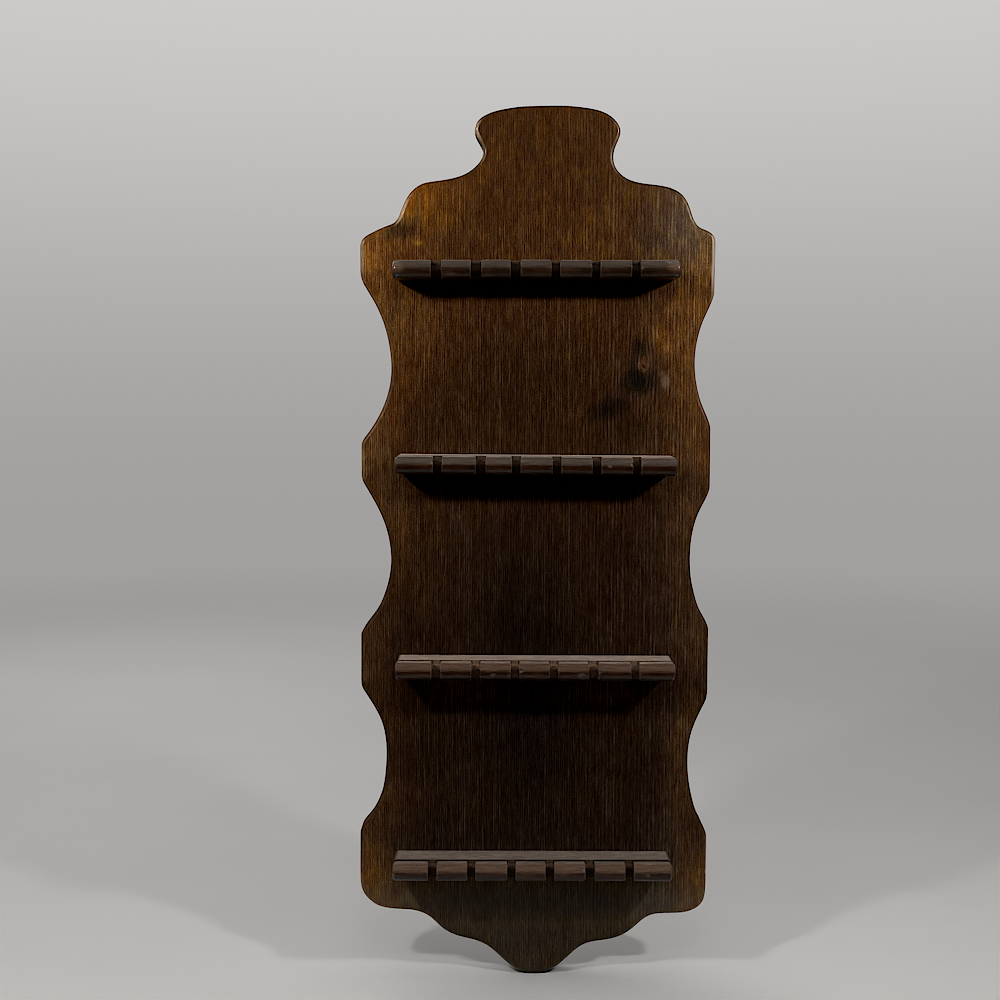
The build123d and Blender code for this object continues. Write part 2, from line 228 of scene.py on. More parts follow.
def side_line(runs, first):
    ends, curves = [], []
    for i, run in enumerate(runs):
        t0, t1 = unit(run[0], run[1]), unit(run[-2], run[-1])
        if i == 0:
            t0 = np.array([first, 0.0])
        if i == len(runs) - 1:
            t1 = np.array([-first, 0.0])
        ends.append((t0, t1))
        if len(run) == 2:
            curves.append(np.linspace(run[0], run[1], 80))
        else:
            curves.append(clamped_spline(run, t0, t1))
    out = [curves[0]]
    for i in range(len(runs) - 1):
        p, q = np.array(runs[i][-1]), np.array(runs[i + 1][0])
        mid = meet(p, ends[i][1], q, ends[i + 1][0])
        t = np.linspace(0, 1, 40)[1:-1, None]
        out.append((1 - t) ** 2 * p + 2 * t * (1 - t) * mid + t ** 2 * q)
        out.append(curves[i + 1])
    return np.vstack(out)


def board_outline(step):
    """Evenly spaced points round the plank, anticlockwise as it is faced, and
    the outward direction at each."""
    left = side_line(LEFT_RUNS, -1.0)
    right = side_line(RIGHT_RUNS, 1.0)
    loop = np.vstack([left, right[::-1][1:]])
    keep = np.r_[True, np.linalg.norm(np.diff(loop, axis=0), axis=1) > 1e-4]
    loop = loop[keep]
    s = np.r_[0, np.cumsum(np.linalg.norm(np.diff(loop, axis=0), axis=1))]
    count = int(round(s[-1] / step))
    at = np.arange(count) * s[-1] / count
    pts = np.c_[np.interp(at, s, loop[:, 0]), np.interp(at, s, loop[:, 1])]
    tan = np.roll(pts, -1, axis=0) - np.roll(pts, 1, axis=0)
    tan = tan / np.linalg.norm(tan, axis=1)[:, None]
    return pts, np.c_[tan[:, 1], -tan[:, 0]], at


# ---------------------------------------------------------------------------
# Brushed grain: fine upright ridges, unevenly spaced, that drift slightly and
# part round the knot
# ---------------------------------------------------------------------------
def drift(x, z):
    """How far a ridge through (x, z) stands right of its own line, in mm."""
    d = 1.1 * noise2(x / 70.0, z / 160.0, 5) + 0.42 * noise2(x / 26.0, z / 55.0, 6)
    d = d + 0.10 * noise2(x / 9.0, z / 17.0, 7) + 0.20 * noise2(x / 15.0, z / 23.0, 8)
    kx, kz = x - KNOT[0], z - KNOT[1]
    near = np.exp(-(kz / 13.0) ** 2 - (kx / 9.0) ** 2)
    return d + 2.1 * near * np.tanh(kx / 2.2)


rng = np.random.default_rng(20)
ridge_u = [-119.0]
while ridge_u[-1] < 119.0:
    # set closer on the left, wider apart right of the middle
    wide = float(smooth(18.0, 40.0, ridge_u[-1]) * smooth(104.0, 84.0, ridge_u[-1]))
    ridge_u.append(ridge_u[-1] + float(np.clip(
        rng.normal(1.42 + 0.92 * wide, 0.20 + 0.16 * wide), 1.0, 3.1)))
ridge_u = np.array(ridge_u)
ridge_gain = np.clip(rng.normal(0.86, 0.20, len(ridge_u)), 0.25, 1.25)
ridge_wide = np.clip(rng.normal(1.0, 0.25, len(ridge_u)), 0.5, 1.6)


def ridge_at(u, z):
    """Height of the brushed ridges at line position u, 0 in a groove and 1 on
    a crest, and how pale that crest is."""
    k = np.clip(np.searchsorted(ridge_u, u) - 1, 0, len(ridge_u) - 2)
    a, b = ridge_u[k], ridge_u[k + 1]
    t = np.clip((u - a) / (b - a), 0, 1)
    near = np.where(t < 0.5, k, k + 1)
    off = np.abs(np.where(t < 0.5, t, 1 - t)) * 2          # 0 crest, 1 groove
    height = 1 - off ** (0.9 * ridge_wide[near])
    pale = ridge_gain[near] * (
        0.80 + 0.60 * noise2(near * 3.7, z / 9.0, 31)
        + 0.40 * noise2(near * 5.1, z / 20.0, 32))
    return height, np.clip(pale, 0.0, 1.4)


def line_of(x, z):
    return x - drift(x, z)


def x_of(u, z):
    x = u + drift(u, z)
    for _ in range(6):
        x = u + drift(x, z)
    return x


# ---------------------------------------------------------------------------
# Mesh helpers
# ---------------------------------------------------------------------------
class Builder:
    """Collects vertices in millimetres, with named values at each, and faces."""

    def __init__(self, names):
        self.names = names
        self.co, self.faces, self.mats = [], [], []
        self.values = {n: [] for n in names}
        self.count = 0

    def add(self, pts, **values):
        pts = np.asarray(pts, float).reshape(-1, 3)
        first = self.count
        self.co.append(pts)
        for n in self.names:
            v = values.get(n, 0.0)
            self.values[n].append(np.broadcast_to(np.asarray(v, float), (len(pts),)))
        self.count += len(pts)
        return np.arange(first, self.count)

    def face(self, f, mat=0):
        self.faces.append(tuple(int(i) for i in f))
        self.mats.append(mat)

    def strip(self, a, b, closed=True, mat=0):
        """Quads between two rows of as many vertices."""
        n = len(a)
        for i in range(n if closed else n - 1):
            j = (i + 1) % n
            self.face((a[i], a[j], b[j], b[i]), mat)

    def flat(self, loops, extra, plane, mat=0, stretch=1.0):
        """Triangulates inside loops[0] and outside the others, by the two
        coordinates named in plane."""
        co = np.vstack(self.co)
        every = np.concatenate([np.concatenate(loops), extra]).astype(int)
        uv = co[every][:, plane] * np.array([1.0, 1.0 / stretch])
        edges, start = [], 0
        for loop in loops:
            n = len(loop)
            edges += [(start + i, start + (i + 1) % n) for i in range(n)]
            start += n
        _, _, tris, orig, _, _ = delaunay_2d_cdt(
            [Vector(p) for p in uv], edges, [], 0, 1e-7, True)
        src = np.array([orig[i][0] if orig[i] else -1 for i in range(len(orig))])
        t = src[np.array(tris)]
        t = t[(t >= 0).all(axis=1)]
        t = t[(t[:, 0] != t[:, 1]) & (t[:, 1] != t[:, 2]) & (t[:, 0] != t[:, 2])]
        c = uv[t].mean(axis=1)
        start = 0
        for number, loop in enumerate(loops):
            hit = within(c, uv[start:start + len(loop)])
            good = hit if number == 0 else good & ~hit
            start += len(loop)
        for f in every[t[good]]:
            self.face(f, mat)

    def build(self, name, mats, sharp=35.0, place=None):
        me = bpy.data.meshes.new(name)
        co = np.vstack(self.co)
        co = (place(co) if place else co) * MM
        me.from_pydata([tuple(c) for c in co], [], self.faces)
        for n in self.names:
            a = me.attributes.new(n, "FLOAT", "POINT")
            a.data.foreach_set("value", np.concatenate(self.values[n]).astype(np.float32))
        me.polygons.foreach_set("material_index", np.array(self.mats, np.int32))
        for m in mats:
            me.materials.append(m)
        bm = bmesh.new()
        bm.from_mesh(me)
        bmesh.ops.recalc_face_normals(bm, faces=bm.faces)
        open_edges = sum(1 for e in bm.edges if len(e.link_faces) != 2)
        loose = [v for v in bm.verts if not v.link_faces]
        bmesh.ops.delete(bm, geom=loose, context="VERTS")
        volume = bm.calc_volume(signed=True)
        if volume < 0:
            bmesh.ops.reverse_faces(bm, faces=bm.faces)
        bm.to_mesh(me)
        bm.free()
        me.shade_smooth()
        me.set_sharp_from_angle(angle=math.radians(sharp))
        ob = bpy.data.objects.new(name, me)
        bpy.context.scene.collection.objects.link(ob)
        print("%-20s verts %6d faces %6d open edges %d loose %d volume %.1f mm3" % (
            name, len(me.vertices), len(me.polygons), open_edges, len(loose),
            abs(volume) * 1e9))
        return ob


def within(pts, poly):
    """Which points lie inside a polygon."""
    pts = np.asarray(pts, float).reshape(-1, 2)
    hit = np.zeros(len(pts), bool)
    lo, hi = poly.min(axis=0), poly.max(axis=0)
    near = np.flatnonzero(((pts >= lo) & (pts <= hi)).all(axis=1))
    q = np.roll(poly, -1, axis=0)
    for part in np.array_split(near, max(1, len(near) // 4000)):
        x, y = pts[part, 0][:, None], pts[part, 1][:, None]
        cross = (poly[:, 1] > y) != (q[:, 1] > y)
        with np.errstate(divide="ignore", invalid="ignore"):
            xs = (q[:, 0] - poly[:, 0]) * (y - poly[:, 1]) / (q[:, 1] - poly[:, 1]) + poly[:, 0]
        hit[part] = np.count_nonzero(cross & (x < xs), axis=1) % 2 == 1
    return hit


def circle(cx, cz, r, n):
    a = np.arange(n) * 2 * np.pi / n
    return np.c_[cx + r * np.cos(a), cz + r * np.sin(a)]


def tilted(name_tilt, x, z0):
    t = math.radians(name_tilt)
    return x * math.cos(t), z0 - x * math.sin(t)


# ---------------------------------------------------------------------------
# The plank
# ---------------------------------------------------------------------------
DENTS = [  # x, y, z, radius, depth: knocks and nicks in the face and its edge
    (97.9, -17.0, -416.0, 1.7, 0.55), (-109.0, -16.6, -318.0, 2.2, 0.45),
    (-36.6, -16.8, 14.5, 1.6, 0.40), (100.8, -16.8, -252.0, 1.5, 0.40),
    (-93.5, -16.9, -373.0, 1.6, 0.45), (109.9, -16.8, -462.0, 2.0, 0.5),
    (-69.0, -17.2, -24.6, 1.4, 0.35), (60.0, -18.0, -121.0, 2.4, 0.18),
    (-55.0, -18.0, -262.0, 2.0, 0.22), (31.0, -18.0, -381.0, 1.7, 0.2),
    (-74.0, -18.0, -402.0, 2.6, 0.2), (80.0, -18.0, -300.0, 1.8, 0.22),
    (-22.0, -16.8, -517.0, 1.8, 0.5), (104.0, -16.7, -352.5, 1.5, 0.4),
]


def dented(p):
    p = p.copy()
    for x, y, z, r, d in DENTS:
        q = np.sqrt(((p - (x, y, z)) ** 2).sum(axis=1)) / r
        w = np.clip(1 - q * q, 0, 1) ** 1.5 * d
        p[:, 1] += w * 0.8
        away = np.sign(x) * (abs(x) > 60)
        p[:, 0] -= w * 0.5 * away
    return p


def make_board(material):
    b = Builder(["ridge", "rim", "inset", "line", "side", "back", "pocket"])
    line, out, along = board_outline(0.95)
    n = len(line)

    def shrunk(d):
        return line - out * np.reshape(d, (-1, 1))

    # front edge: rounded, and a little uneven as a hand-held cutter leaves it
    wob = 1 + 0.10 * noise2(along / 23.0, 0.5, 3) + 0.05 * noise2(along / 6.0, 3.5, 4)
    r = FRONT_ROUND * wob
    angles = np.radians([0, 13, 27, 41, 55, 70, 90])
    rings = []
    for k, t in enumerate(angles):
        d = r * (1 - math.sin(t))
        xz = shrunk(d)
        u = line_of(xz[:, 0], xz[:, 1])
        height, pale = ridge_at(u, xz[:, 1])
        fade = 0.55 * math.cos(t) ** 2
        y = -BOARD_T + r * (1 - math.cos(t)) + 0.16 * (1 - height) * fade
        pts = dented(np.c_[xz[:, 0], y, xz[:, 1]])
        rim = float(smooth(0, 22, math.degrees(t))) * (
            1 - 0.8 * float(smooth(62, 90, math.degrees(t))))
        rings.append(b.add(pts, ridge=height ** 2.0 * pale * (0.75 * math.cos(t)),
                           rim=rim, inset=d, line=u, side=float(smooth(50, 90, math.degrees(t)))))
    front = rings[0]
    for a, c in zip(rings, rings[1:]):
        b.strip(a, c)
    # sawn and sanded side
    last = rings[-1]
    for k, y in enumerate([-12.9, -10.2, -7.4, -4.6, -2.4, -BACK_ROUND]):
        ripple = 0.05 + 0.045 * noise2(along / 2.3, y / 9.0, 11) + 0.05 * noise2(
            along / 17.0, y / 14.0, 12)
        fade = 0.0 if k == 5 else 1.0
        xz = shrunk(np.clip(ripple * fade, 0, 0.2))
        row = b.add(dented(np.c_[xz[:, 0], np.full(n, y), xz[:, 1]]), inset=0.0,
                    line=line_of(xz[:, 0], xz[:, 1]), side=1.0)
        b.strip(last, row)
        last = row
    for t in np.radians([30, 60, 90]):
        d = BACK_ROUND * (1 - math.cos(t))
        xz = shrunk(d)
        row = b.add(np.c_[xz[:, 0], np.full(n, -BACK_ROUND + BACK_ROUND * math.sin(t)),
                          xz[:, 1]], inset=d, line=line_of(xz[:, 0], xz[:, 1]),
                    side=1 - float(smooth(0.4, 1.5, t)), back=float(smooth(0.4, 1.5, t)))
        b.strip(last, row)
        last = row
    back = last

    # face: columns of vertices run along the ridges, four to each
    cols = []
    for i in range(len(ridge_u) - 1):
        a, c = ridge_u[i], ridge_u[i + 1]
        cols += [a + (c - a) * t for t in (0.0, 0.25, 0.5, 0.75)]
    cols = np.array(cols)
    rows = np.arange(-528.0, 24.0, 4.4)
    U, Z = np.meshgrid(cols, rows)
    U, Z = U.ravel(), Z.ravel()
    X = x_of(U, Z)
    rim_xz = np.vstack(b.co)[front][:, [0, 2]]
    ok = within(np.c_[X, Z], rim_xz)
    tree = KDTree(n)
    for i, p in enumerate(rim_xz):
        tree.insert((p[0], p[1], 0), i)
    tree.balance()
    gap = np.array([tree.find((x, z, 0))[2] if o else 0.0 for x, z, o in zip(X, Z, ok)])
    ok &= gap > 0.6
    holes = []
    for name, z0, x0, x1, tilt, notches in RAILS:
        for sx in (-SCREW_X, SCREW_X):
            holes.append(tilted(tilt, sx, z0))
    for hx, hz in holes:
        ok &= np.hypot(X - hx, Z - hz) > CLEAR_R + 0.5
    U, X, Z, gap = U[ok], X[ok], Z[ok], gap[ok]
    height, pale = ridge_at(U, Z)
    amp = 0.125 * (0.75 + 0.35 * fbm(X / 21.0, Z / 60.0, 41)) * (0.55 + 0.45 * smooth(0, 3, gap))
    kd = np.hypot((X - KNOT[0]) / 4.2, (Z - KNOT[1]) / 8.5)
    amp = amp * (0.35 + 0.65 * smooth(0.6, 1.6, kd)) * (0.6 + 0.5 * pale)
    low = 0.09 * (1 + fbm(X / 60.0, Z / 95.0, 43, 2)) * smooth(0, 14, gap)
    Y = -BOARD_T + amp * (1 - height) + low
    Y += 0.22 * np.exp(-(kd / 0.33) ** 2)                  # the knot's sunk heart
    pts = dented(np.c_[X, Y, Z])
    extra = b.add(pts, ridge=height ** 2.0 * pale, inset=FRONT_ROUND + gap,
                  line=U, rim=0.0)
    rounds = []
    for hx, hz in holes:
        c = circle(hx, hz, CLEAR_R, 20)
        rounds.append(b.add(np.c_[c[:, 0], np.full(20, -BOARD_T + 0.1), c[:, 1]],
                            inset=40.0, line=c[:, 0]))
    b.flat([front] + rounds, extra, [0, 2], stretch=7.0)

    # back face, its screw holes and the hanger's pocket
    slope = (SCREW_HEAD_R - SCREW_SHANK_R) / (SCREW_HEAD_H - 0.35)
    mouth = SCREW_HEAD_R + 0.15
    y_cone = -SCREW_SINK - 0.35 - (mouth - CLEAR_R) / slope
    mouths = []
    for (hx, hz), bottom in zip(holes, rounds):
        prev = None
        # a slightly torn chamfer at the mouth
        for rad, y in ((mouth + 0.35, 0.0), (mouth, -0.35), (mouth, -SCREW_SINK - 0.35),
                       (CLEAR_R, y_cone)):
            c = circle(hx, hz, rad, 20)
            row = b.add(np.c_[c[:, 0], np.full(20, y), c[:, 1]], back=1.0, pocket=1.0,
                        inset=40.0, line=c[:, 0])
            if prev is not None:
                b.strip(prev, row)
            else:
                mouths.append(row)
            prev = row
        b.strip(prev, bottom)
    corner = []
    for cx, cz, a0 in ((1, 1, 0), (-1, 1, 90), (-1, -1, 180), (1, -1, 270)):
        ox = cx * (POCKET_HALF - POCKET_R)
        oz = (POCKET_TOP - POCKET_R) if cz > 0 else (POCKET_BOTTOM + POCKET_R)
        for a in np.radians(np.linspace(a0, a0 + 90, 9)):
            corner.append((ox + POCKET_R * math.cos(a), oz + POCKET_R * math.sin(a)))
    corner = np.array(corner)
    cen = np.array([0, (POCKET_TOP + POCKET_BOTTOM) / 2])
    lip = b.add(np.c_[corner[:, 0], np.zeros(len(corner)), corner[:, 1]], back=1.0,
                pocket=0.6, inset=40.0, line=corner[:, 0])
    wall = b.add(np.c_[corner[:, 0], np.full(len(corner), -0.25), corner[:, 1]], back=1.0,
                 pocket=1.0, inset=40.0, line=corner[:, 0])
    deep = b.add(np.c_[corner[:, 0], np.full(len(corner), -POCKET_DEPTH), corner[:, 1]],
                 back=1.0, pocket=1.0, inset=40.0, line=corner[:, 0])
    b.strip(lip, wall)
    b.strip(wall, deep)
    nails = []
    for sx in (-HANGER_NAIL_X, HANGER_NAIL_X):
        c = circle(sx, HANGER_NAIL_Z, NAIL_R, 12)
        top = b.add(np.c_[c[:, 0], np.full(12, -POCKET_DEPTH), c[:, 1]], back=1.0,
                    pocket=1.0, line=c[:, 0])
        low_y = -POCKET_DEPTH + HANGER_T - NAIL_LEN
        mid = b.add(np.c_[c[:, 0], np.full(12, low_y + 2.4), c[:, 1]], back=1.0,
                    pocket=1.0, line=c[:, 0])
        tip = b.add([(sx, low_y, HANGER_NAIL_Z)], back=1.0, pocket=1.0, line=sx)
        b.strip(top, mid)
        for i in range(12):
            b.face((mid[i], mid[(i + 1) % 12], tip[0]))
        nails.append(top)
    px, pz = np.meshgrid(np.arange(-22, 23, 4.0), np.arange(-9, 8, 3.5))
    px, pz = px.ravel(), pz.ravel()
    far = np.all([np.hypot(px - sx, pz - HANGER_NAIL_Z) > 1.6
                  for sx in (-HANGER_NAIL_X, HANGER_NAIL_X)], axis=0)
    floor_pts = b.add(np.c_[px[far], -POCKET_DEPTH + 0.0 * px[far], pz[far]], back=1.0,
                      pocket=1.0, line=px[far])
    b.flat([deep] + nails, floor_pts, [0, 2])
    gx, gz = np.meshgrid(np.arange(-110, 111, 5.0), np.arange(-526, 22, 7.0))
    gx, gz = gx.ravel(), gz.ravel()
    rim_b = np.vstack(b.co)[back][:, [0, 2]]
    keep = within(np.c_[gx, gz], rim_b)
    keep &= np.hypot(rim_b[:, 0][:, None] - gx, rim_b[:, 1][:, None] - gz).min(axis=0) > 2.5
    for hx, hz in holes:
        keep &= np.hypot(gx - hx, gz - hz) > 6.5
    keep &= ~((np.abs(gx) < POCKET_HALF + 2) & (gz > POCKET_BOTTOM - 2) & (gz < POCKET_TOP + 2))
    gx, gz = gx[keep], gz[keep]
    # planer ripple, always a touch below the flat
    gy = -0.04 - 0.04 * noise2(gx / 14.0, gz / 9.0, 51)
    grid = b.add(np.c_[gx, gy, gz], back=1.0, inset=40.0, line=gx)
    b.flat([back, lip] + mouths, grid, [0, 2])
    return b.build("back_board_finish", [material], sharp=38.0)


# ---------------------------------------------------------------------------
# The rails
# ---------------------------------------------------------------------------
LEDGE = 1.8


def rail_profile():
    """Section from the plank's face round the nose and back, as rows of
    (y, z, shrink direction y, z, kind). Kinds: 0 bottom, 1 nose, 2 lip,
    3 kerf, 4 top strip."""
    h = RAIL_H / 2
    flat = STRIP_D + KERF_W + LIP_W
    rows = []
    for y in (0, 0.7, 2.2, 5, 8, 11, 14, 16.4, STRIP_D):
        rows.append((-y, -h, 0, -1, 0))
    for y in (18.3, STRIP_D + LEDGE, 20.3, 22.0, 23.4):
        rows.append((-y, -h, 0, -1, 0))
    for a in np.radians(np.linspace(-90, 90, 31)):
        rows.append((-flat - NOSE_R * math.cos(a), NOSE_R * math.sin(a),
                     -math.cos(a), math.sin(a), 1))
    e = 0.28                         # the sharp edges are sanded over
    for y in (flat - 1.0, flat - 2.0, flat - LIP_W + e + 0.25, flat - LIP_W + e):
        rows.append((-y, h, 0, 1, 2))
    yk = flat - LIP_W
    rows.append((-(yk + e * 0.3), h - e * 0.3, 0, 1, 2))
    rows.append((-yk, h - e, 0, 0.6, 3))
    f = h - KERF_DEPTH
    rows.append((-yk, (h + f) / 2, 0, 0, 3))
    rows.append((-yk, f + 0.35, 0, 0, 3))
    rows.append((-yk, f, 0, 0, 3))
    rows.append((-(STRIP_D + LEDGE), f, 0, 0, 3))
    rows.append((-(STRIP_D + 0.8), f, 0, 0, 3))
    rows.append((-STRIP_D, f, 0, 0, 3))
    rows.append((-STRIP_D, (h + f) / 2, 0, 0, 3))
    rows.append((-STRIP_D, h - e, 0, 0.6, 3))
    rows.append((-(STRIP_D - e * 0.7), h - e * 0.3, 0, 1, 4))
    for y in (STRIP_D - e - 0.1, STRIP_D - e - 0.6, 14.5, 12, 9.5, 7, 4.5, 2.2, 0.8, 0):
        rows.append((-y, h, 0, 1, 4))
    return np.array(rows)


PROFILE = rail_profile()
PK = PROFILE[:, 4].astype(int)
I_BOTTOM = {0: int(np.flatnonzero((PROFILE[:, 0] == -STRIP_D) & (PK == 0))[0]),
            LEDGE: int(np.flatnonzero((PROFILE[:, 0] == -(STRIP_D + LEDGE)) & (PK == 0))[0])}
FLOOR_Z = RAIL_H / 2 - KERF_DEPTH
I_KERF = {0: int(np.flatnonzero((PROFILE[:, 0] == -STRIP_D) & (PK == 3)
                                & (np.abs(PROFILE[:, 1] - FLOOR_Z) < 1e-9))[0]),
          LEDGE: int(np.flatnonzero((PROFILE[:, 0] == -(STRIP_D + LEDGE)) & (PK == 3))[0])}
PATH = np.r_[0, np.cumsum(np.linalg.norm(np.diff(PROFILE[:, :2], axis=0), axis=1))]

CHIPS = {  # rail: x, y, z in the rail's own frame, radius, depth
    "top_rail": [(-37.8, -30.0, -1.2, 1.1, 0.5), (-33.4, -29.4, 2.0, 1.0, 0.45),
                 (-57.8, -29.2, -3.0, 1.0, 0.5), (34.0, -29.5, 2.6, 1.2, 0.5),
                 (63.6, -30.0, 1.0, 0.9, 0.4), (-9.6, -29.6, -2.6, 1.0, 0.5),
                 (80.5, -28.0, 4.2, 1.6, 0.35)],
    "upper_middle_rail": [(-63.6, -29.4, 2.5, 1.1, 0.5), (15.6, -29.8, -1.5, 1.1, 0.5),
                          (-31.0, -29.6, -2.2, 1.0, 0.4), (59.2, -29.6, 1.5, 1.0, 0.5),
                          (45.0, -30.1, 0.2, 1.3, 0.22)],
    "lower_middle_rail": [(28.6, -29.9, -1.8, 1.9, 0.75), (30.8, -29.5, -2.4, 1.3, 0.6),
                          (-15.8, -29.6, -2.4, 1.2, 0.55), (-12.6 + 3.2, -29.6, 1.2, 1.0, 0.4),
                          (38.9, -29.8, 0.4, 1.1, 0.5), (-26.5, -29.9, -1.6, 1.5, 0.5),
                          (-59.0, -29.6, -1.0, 1.0, 0.4)],
    "bottom_rail": [(-67.4, -29.6, 2.2, 1.0, 0.45), (11.8, -29.8, -2.0, 1.2, 0.5),
                    (31.0, -29.4, 3.0, 1.1, 0.45), (-42.9, -29.6, -1.2, 1.0, 0.45),
                    (70.0, -30.0, -0.6, 1.3, 0.25)],
}


def make_rail(rail, seed, finish, cut):
    name, z0, x0, x1, tilt, notches = rail
    b = Builder(["edge", "grain", "low", "kerf"])
    h = RAIL_H / 2
    P = PROFILE
    npts = len(P)

    # stations along the rail: x, distance to a notch edge on either side
    xs = []
    ends = [0, 0.06, 0.2, 0.45, 0.8, 1.25, 1.75, RAIL_END_R]
    xs += [(x0 + t, "end") for t in ends]
    edges = [RAIL_END_R + x0]
    for cx, w, ledge in notches:
        edges += [cx - w / 2, cx + w / 2]
    edges.append(x1 - RAIL_END_R)
    bevel = [0.0, 0.05, 0.13, 0.25, 0.42, 0.62, 0.9]
    segs = []
    for k in range(0, len(edges), 2):
        a, c = edges[k], edges[k + 1]
        inner = []
        if k > 0:
            inner += [a + t for t in bevel]
        if k < len(edges) - 2:
            inner += [c - t for t in bevel]
        lo, hi = (a + 0.9 if k > 0 else a), (c - 0.9 if k < len(edges) - 2 else c)
        steps = max(2, int(round((hi - lo) / 0.85)))
        inner += list(np.linspace(lo, hi, steps + 1))
        inner = sorted(set(round(v, 5) for v in inner))
        segs.append(inner)
    segs[0] = sorted(set([round(x0 + t, 5) for t in ends] + segs[0]))
    segs[-1] = sorted(set([round(x1 - t, 5) for t in ends] + segs[-1]))

    cuts = [(cx - w / 2, cx + w / 2, LEDGE if ledge else 0) for cx, w, ledge in notches]

    def section(x, free):
        """All of the section's points at x. free lists the notch edges that
        this part of the rail ends at."""
        p = P[:, :2].copy()
        end = min(x - x0, x1 - x)
        shrink = np.zeros(npts)
        if end < RAIL_END_R:
            q = RAIL_END_R - end
            shrink += RAIL_END_R - math.sqrt(max(RAIL_END_R ** 2 - q * q, 0))
        worn = np.zeros(npts)
        if end < RAIL_END_R:
            worn += float(smooth(0.9, 0.15, abs(end - 0.75))) * 0.75
        for xe, led in free:
            t = abs(x - xe)
            if t > 1.0:
                continue
            radius = 0.42 + 0.16 * noise2(PATH / 2.1, xe * 1.7, seed + 5) + 0.1 * noise2(
                PATH / 0.8, xe * 2.9, seed + 6)
            radius = np.clip(radius, 0.2, 0.85)
            q = np.clip(radius - t, 0, None)
            d = radius - np.sqrt(np.clip(radius ** 2 - q * q, 0, None))
            past = smooth(STRIP_D + led, STRIP_D + led + 1.3, -P[:, 0])
            d = d * past * (PK < 3)
            shrink = np.maximum(shrink, d)
            worn = np.maximum(worn, smooth(0.75, 0.12, t) * past * (PK < 3))
        # hand-worked unevenness
        bump = 0.045 * noise2(x / 9.0 + seed, PATH / 5.0, seed) + 0.02 * noise2(
            x / 2.2, PATH / 1.6, seed + 1) + 0.05 * noise2(x / 31.0, PATH / 11.0, seed + 2)
        bump = bump * (PK != 3) * np.clip(-P[:, 0] / 1.5, 0, 1)
        bump = np.where(PK == 0, np.minimum(bump + 0.02, 0.05), bump)
        inward = shrink + 0.06 - bump
        inward = np.where((-P[:, 0] < 0.01), shrink, inward)
        p -= P[:, 2:4] * inward[:, None]
        top = h - (shrink + 0.1)
        kerf_walls = (PK == 3) & (P[:, 1] > FLOOR_Z + 0.01)
        p[kerf_walls, 1] = np.minimum(p[kerf_walls, 1], top[kerf_walls] - 0.12)
        p[kerf_walls, 1] = np.maximum(p[kerf_walls, 1], FLOOR_Z + 0.02 + 0.02 * (
            P[kerf_walls, 1] - FLOOR_Z))
        pts = np.c_[np.full(npts, x), p]
        for cx, cy, cz, r, d in CHIPS[name]:
            q = np.sqrt((pts[:, 0] - cx) ** 2 * 0.7 + (pts[:, 1] - cy) ** 2
                        + (pts[:, 2] - cz) ** 2) / r
            w = np.clip(1.15 - q - 0.28 * noise2(pts[:, 0] * 1.9, pts[:, 2] * 2.3, seed + 9),
                        0, 1)
            w = np.clip(w * 2.2, 0, 1)
            pts[:, 1] += w * d * -P[:, 2]
            pts[:, 2] -= w * d * P[:, 3]
            worn = np.maximum(worn, w * 0.9)
        return pts, np.clip(worn, 0, 1)

    def place(pts):
        t = math.radians(tilt)
        pts = np.asarray(pts, float).reshape(-1, 3)
        x = pts[:, 0] * math.cos(t) + pts[:, 2] * math.sin(t)
        z = -pts[:, 0] * math.sin(t) + pts[:, 2] * math.cos(t)
        return np.c_[x, pts[:, 1] - BOARD_T, z + z0]

    mats = np.where(PK[:-1] == 3, 1, 0)
    bottom_edge, top_edge = [], []
    prev_notch = None
    for k, seg in enumerate(segs):
        free = []
        if k > 0:
            free.append((cuts[k - 1][1], cuts[k - 1][2]))
        if k < len(segs) - 1:
            free.append((cuts[k][0], cuts[k][2]))
        prev = None
        for x in seg:
            pts, worn = section(x, free)
            low = np.clip((-pts[:, 2]) / h * 0.5 + 0.5, 0, 1)
            row = b.add(pts, edge=worn, grain=PATH, low=low, kerf=(PK == 3) * 1.0)
            if prev is not None:
                for i in range(npts - 1):
                    b.face((prev[i], row[i], row[i + 1], prev[i + 1]), int(mats[i]))
            else:
                first = row
            bottom_edge.append(row[0])
            top_edge.append(row[-1])
            prev = row
        # close the side of the notch before this piece, then the notch's wall
        if k > 0:
            xa, xb, led = cuts[k - 1]
            i, j = I_BOTTOM[led], I_KERF[led]
            wall_y = -(STRIP_D + led)
            zs = np.linspace(-h + 0.08, FLOOR_Z, 9)[1:-1]
            cols = []
            inner = list(np.linspace(xa, xb, 7))
            left_row, right_row = prev_last, first
            left_pts = np.vstack(b.co)
            rowL = [left_row[i]]
            rowR = [right_row[i]]
            strips = []
            for s, x in enumerate(inner):
                if s == 0:
                    base, wall_at = left_row, xa
                elif s == len(inner) - 1:
                    base, wall_at = right_row, xb
                else:
                    pts, worn = section(x, [])
                    base = None
                rough = 0.10 * noise2(x / 1.3, zs / 1.1, seed + 21) + 0.06 * noise2(
                    x / 0.6, zs / 0.5, seed + 22)
                if s in (0, len(inner) - 1):
                    rough = rough * 0
                wall = b.add(np.c_[np.full(len(zs), x), wall_y - np.clip(rough + 0.02, -0.05, 0.2) * (
                    0 if s in (0, len(inner) - 1) else 1), zs], edge=0.0,
                    grain=zs + 40, low=np.clip(0.5 - zs / h * 0.5, 0, 1))
                if base is None:
                    lowp = b.add(pts[:i + 1], edge=0.0, grain=PATH[:i + 1],
                                 low=1.0)
                    highp = b.add(pts[j:], edge=0.0, grain=PATH[j:], low=0.0,
                                  kerf=(PK[j:] == 3) * 0.6)
                else:
                    lowp, highp = base[:i + 1], base[j:]
                strips.append((lowp, wall, highp))
                if s not in (0, len(inner) - 1):
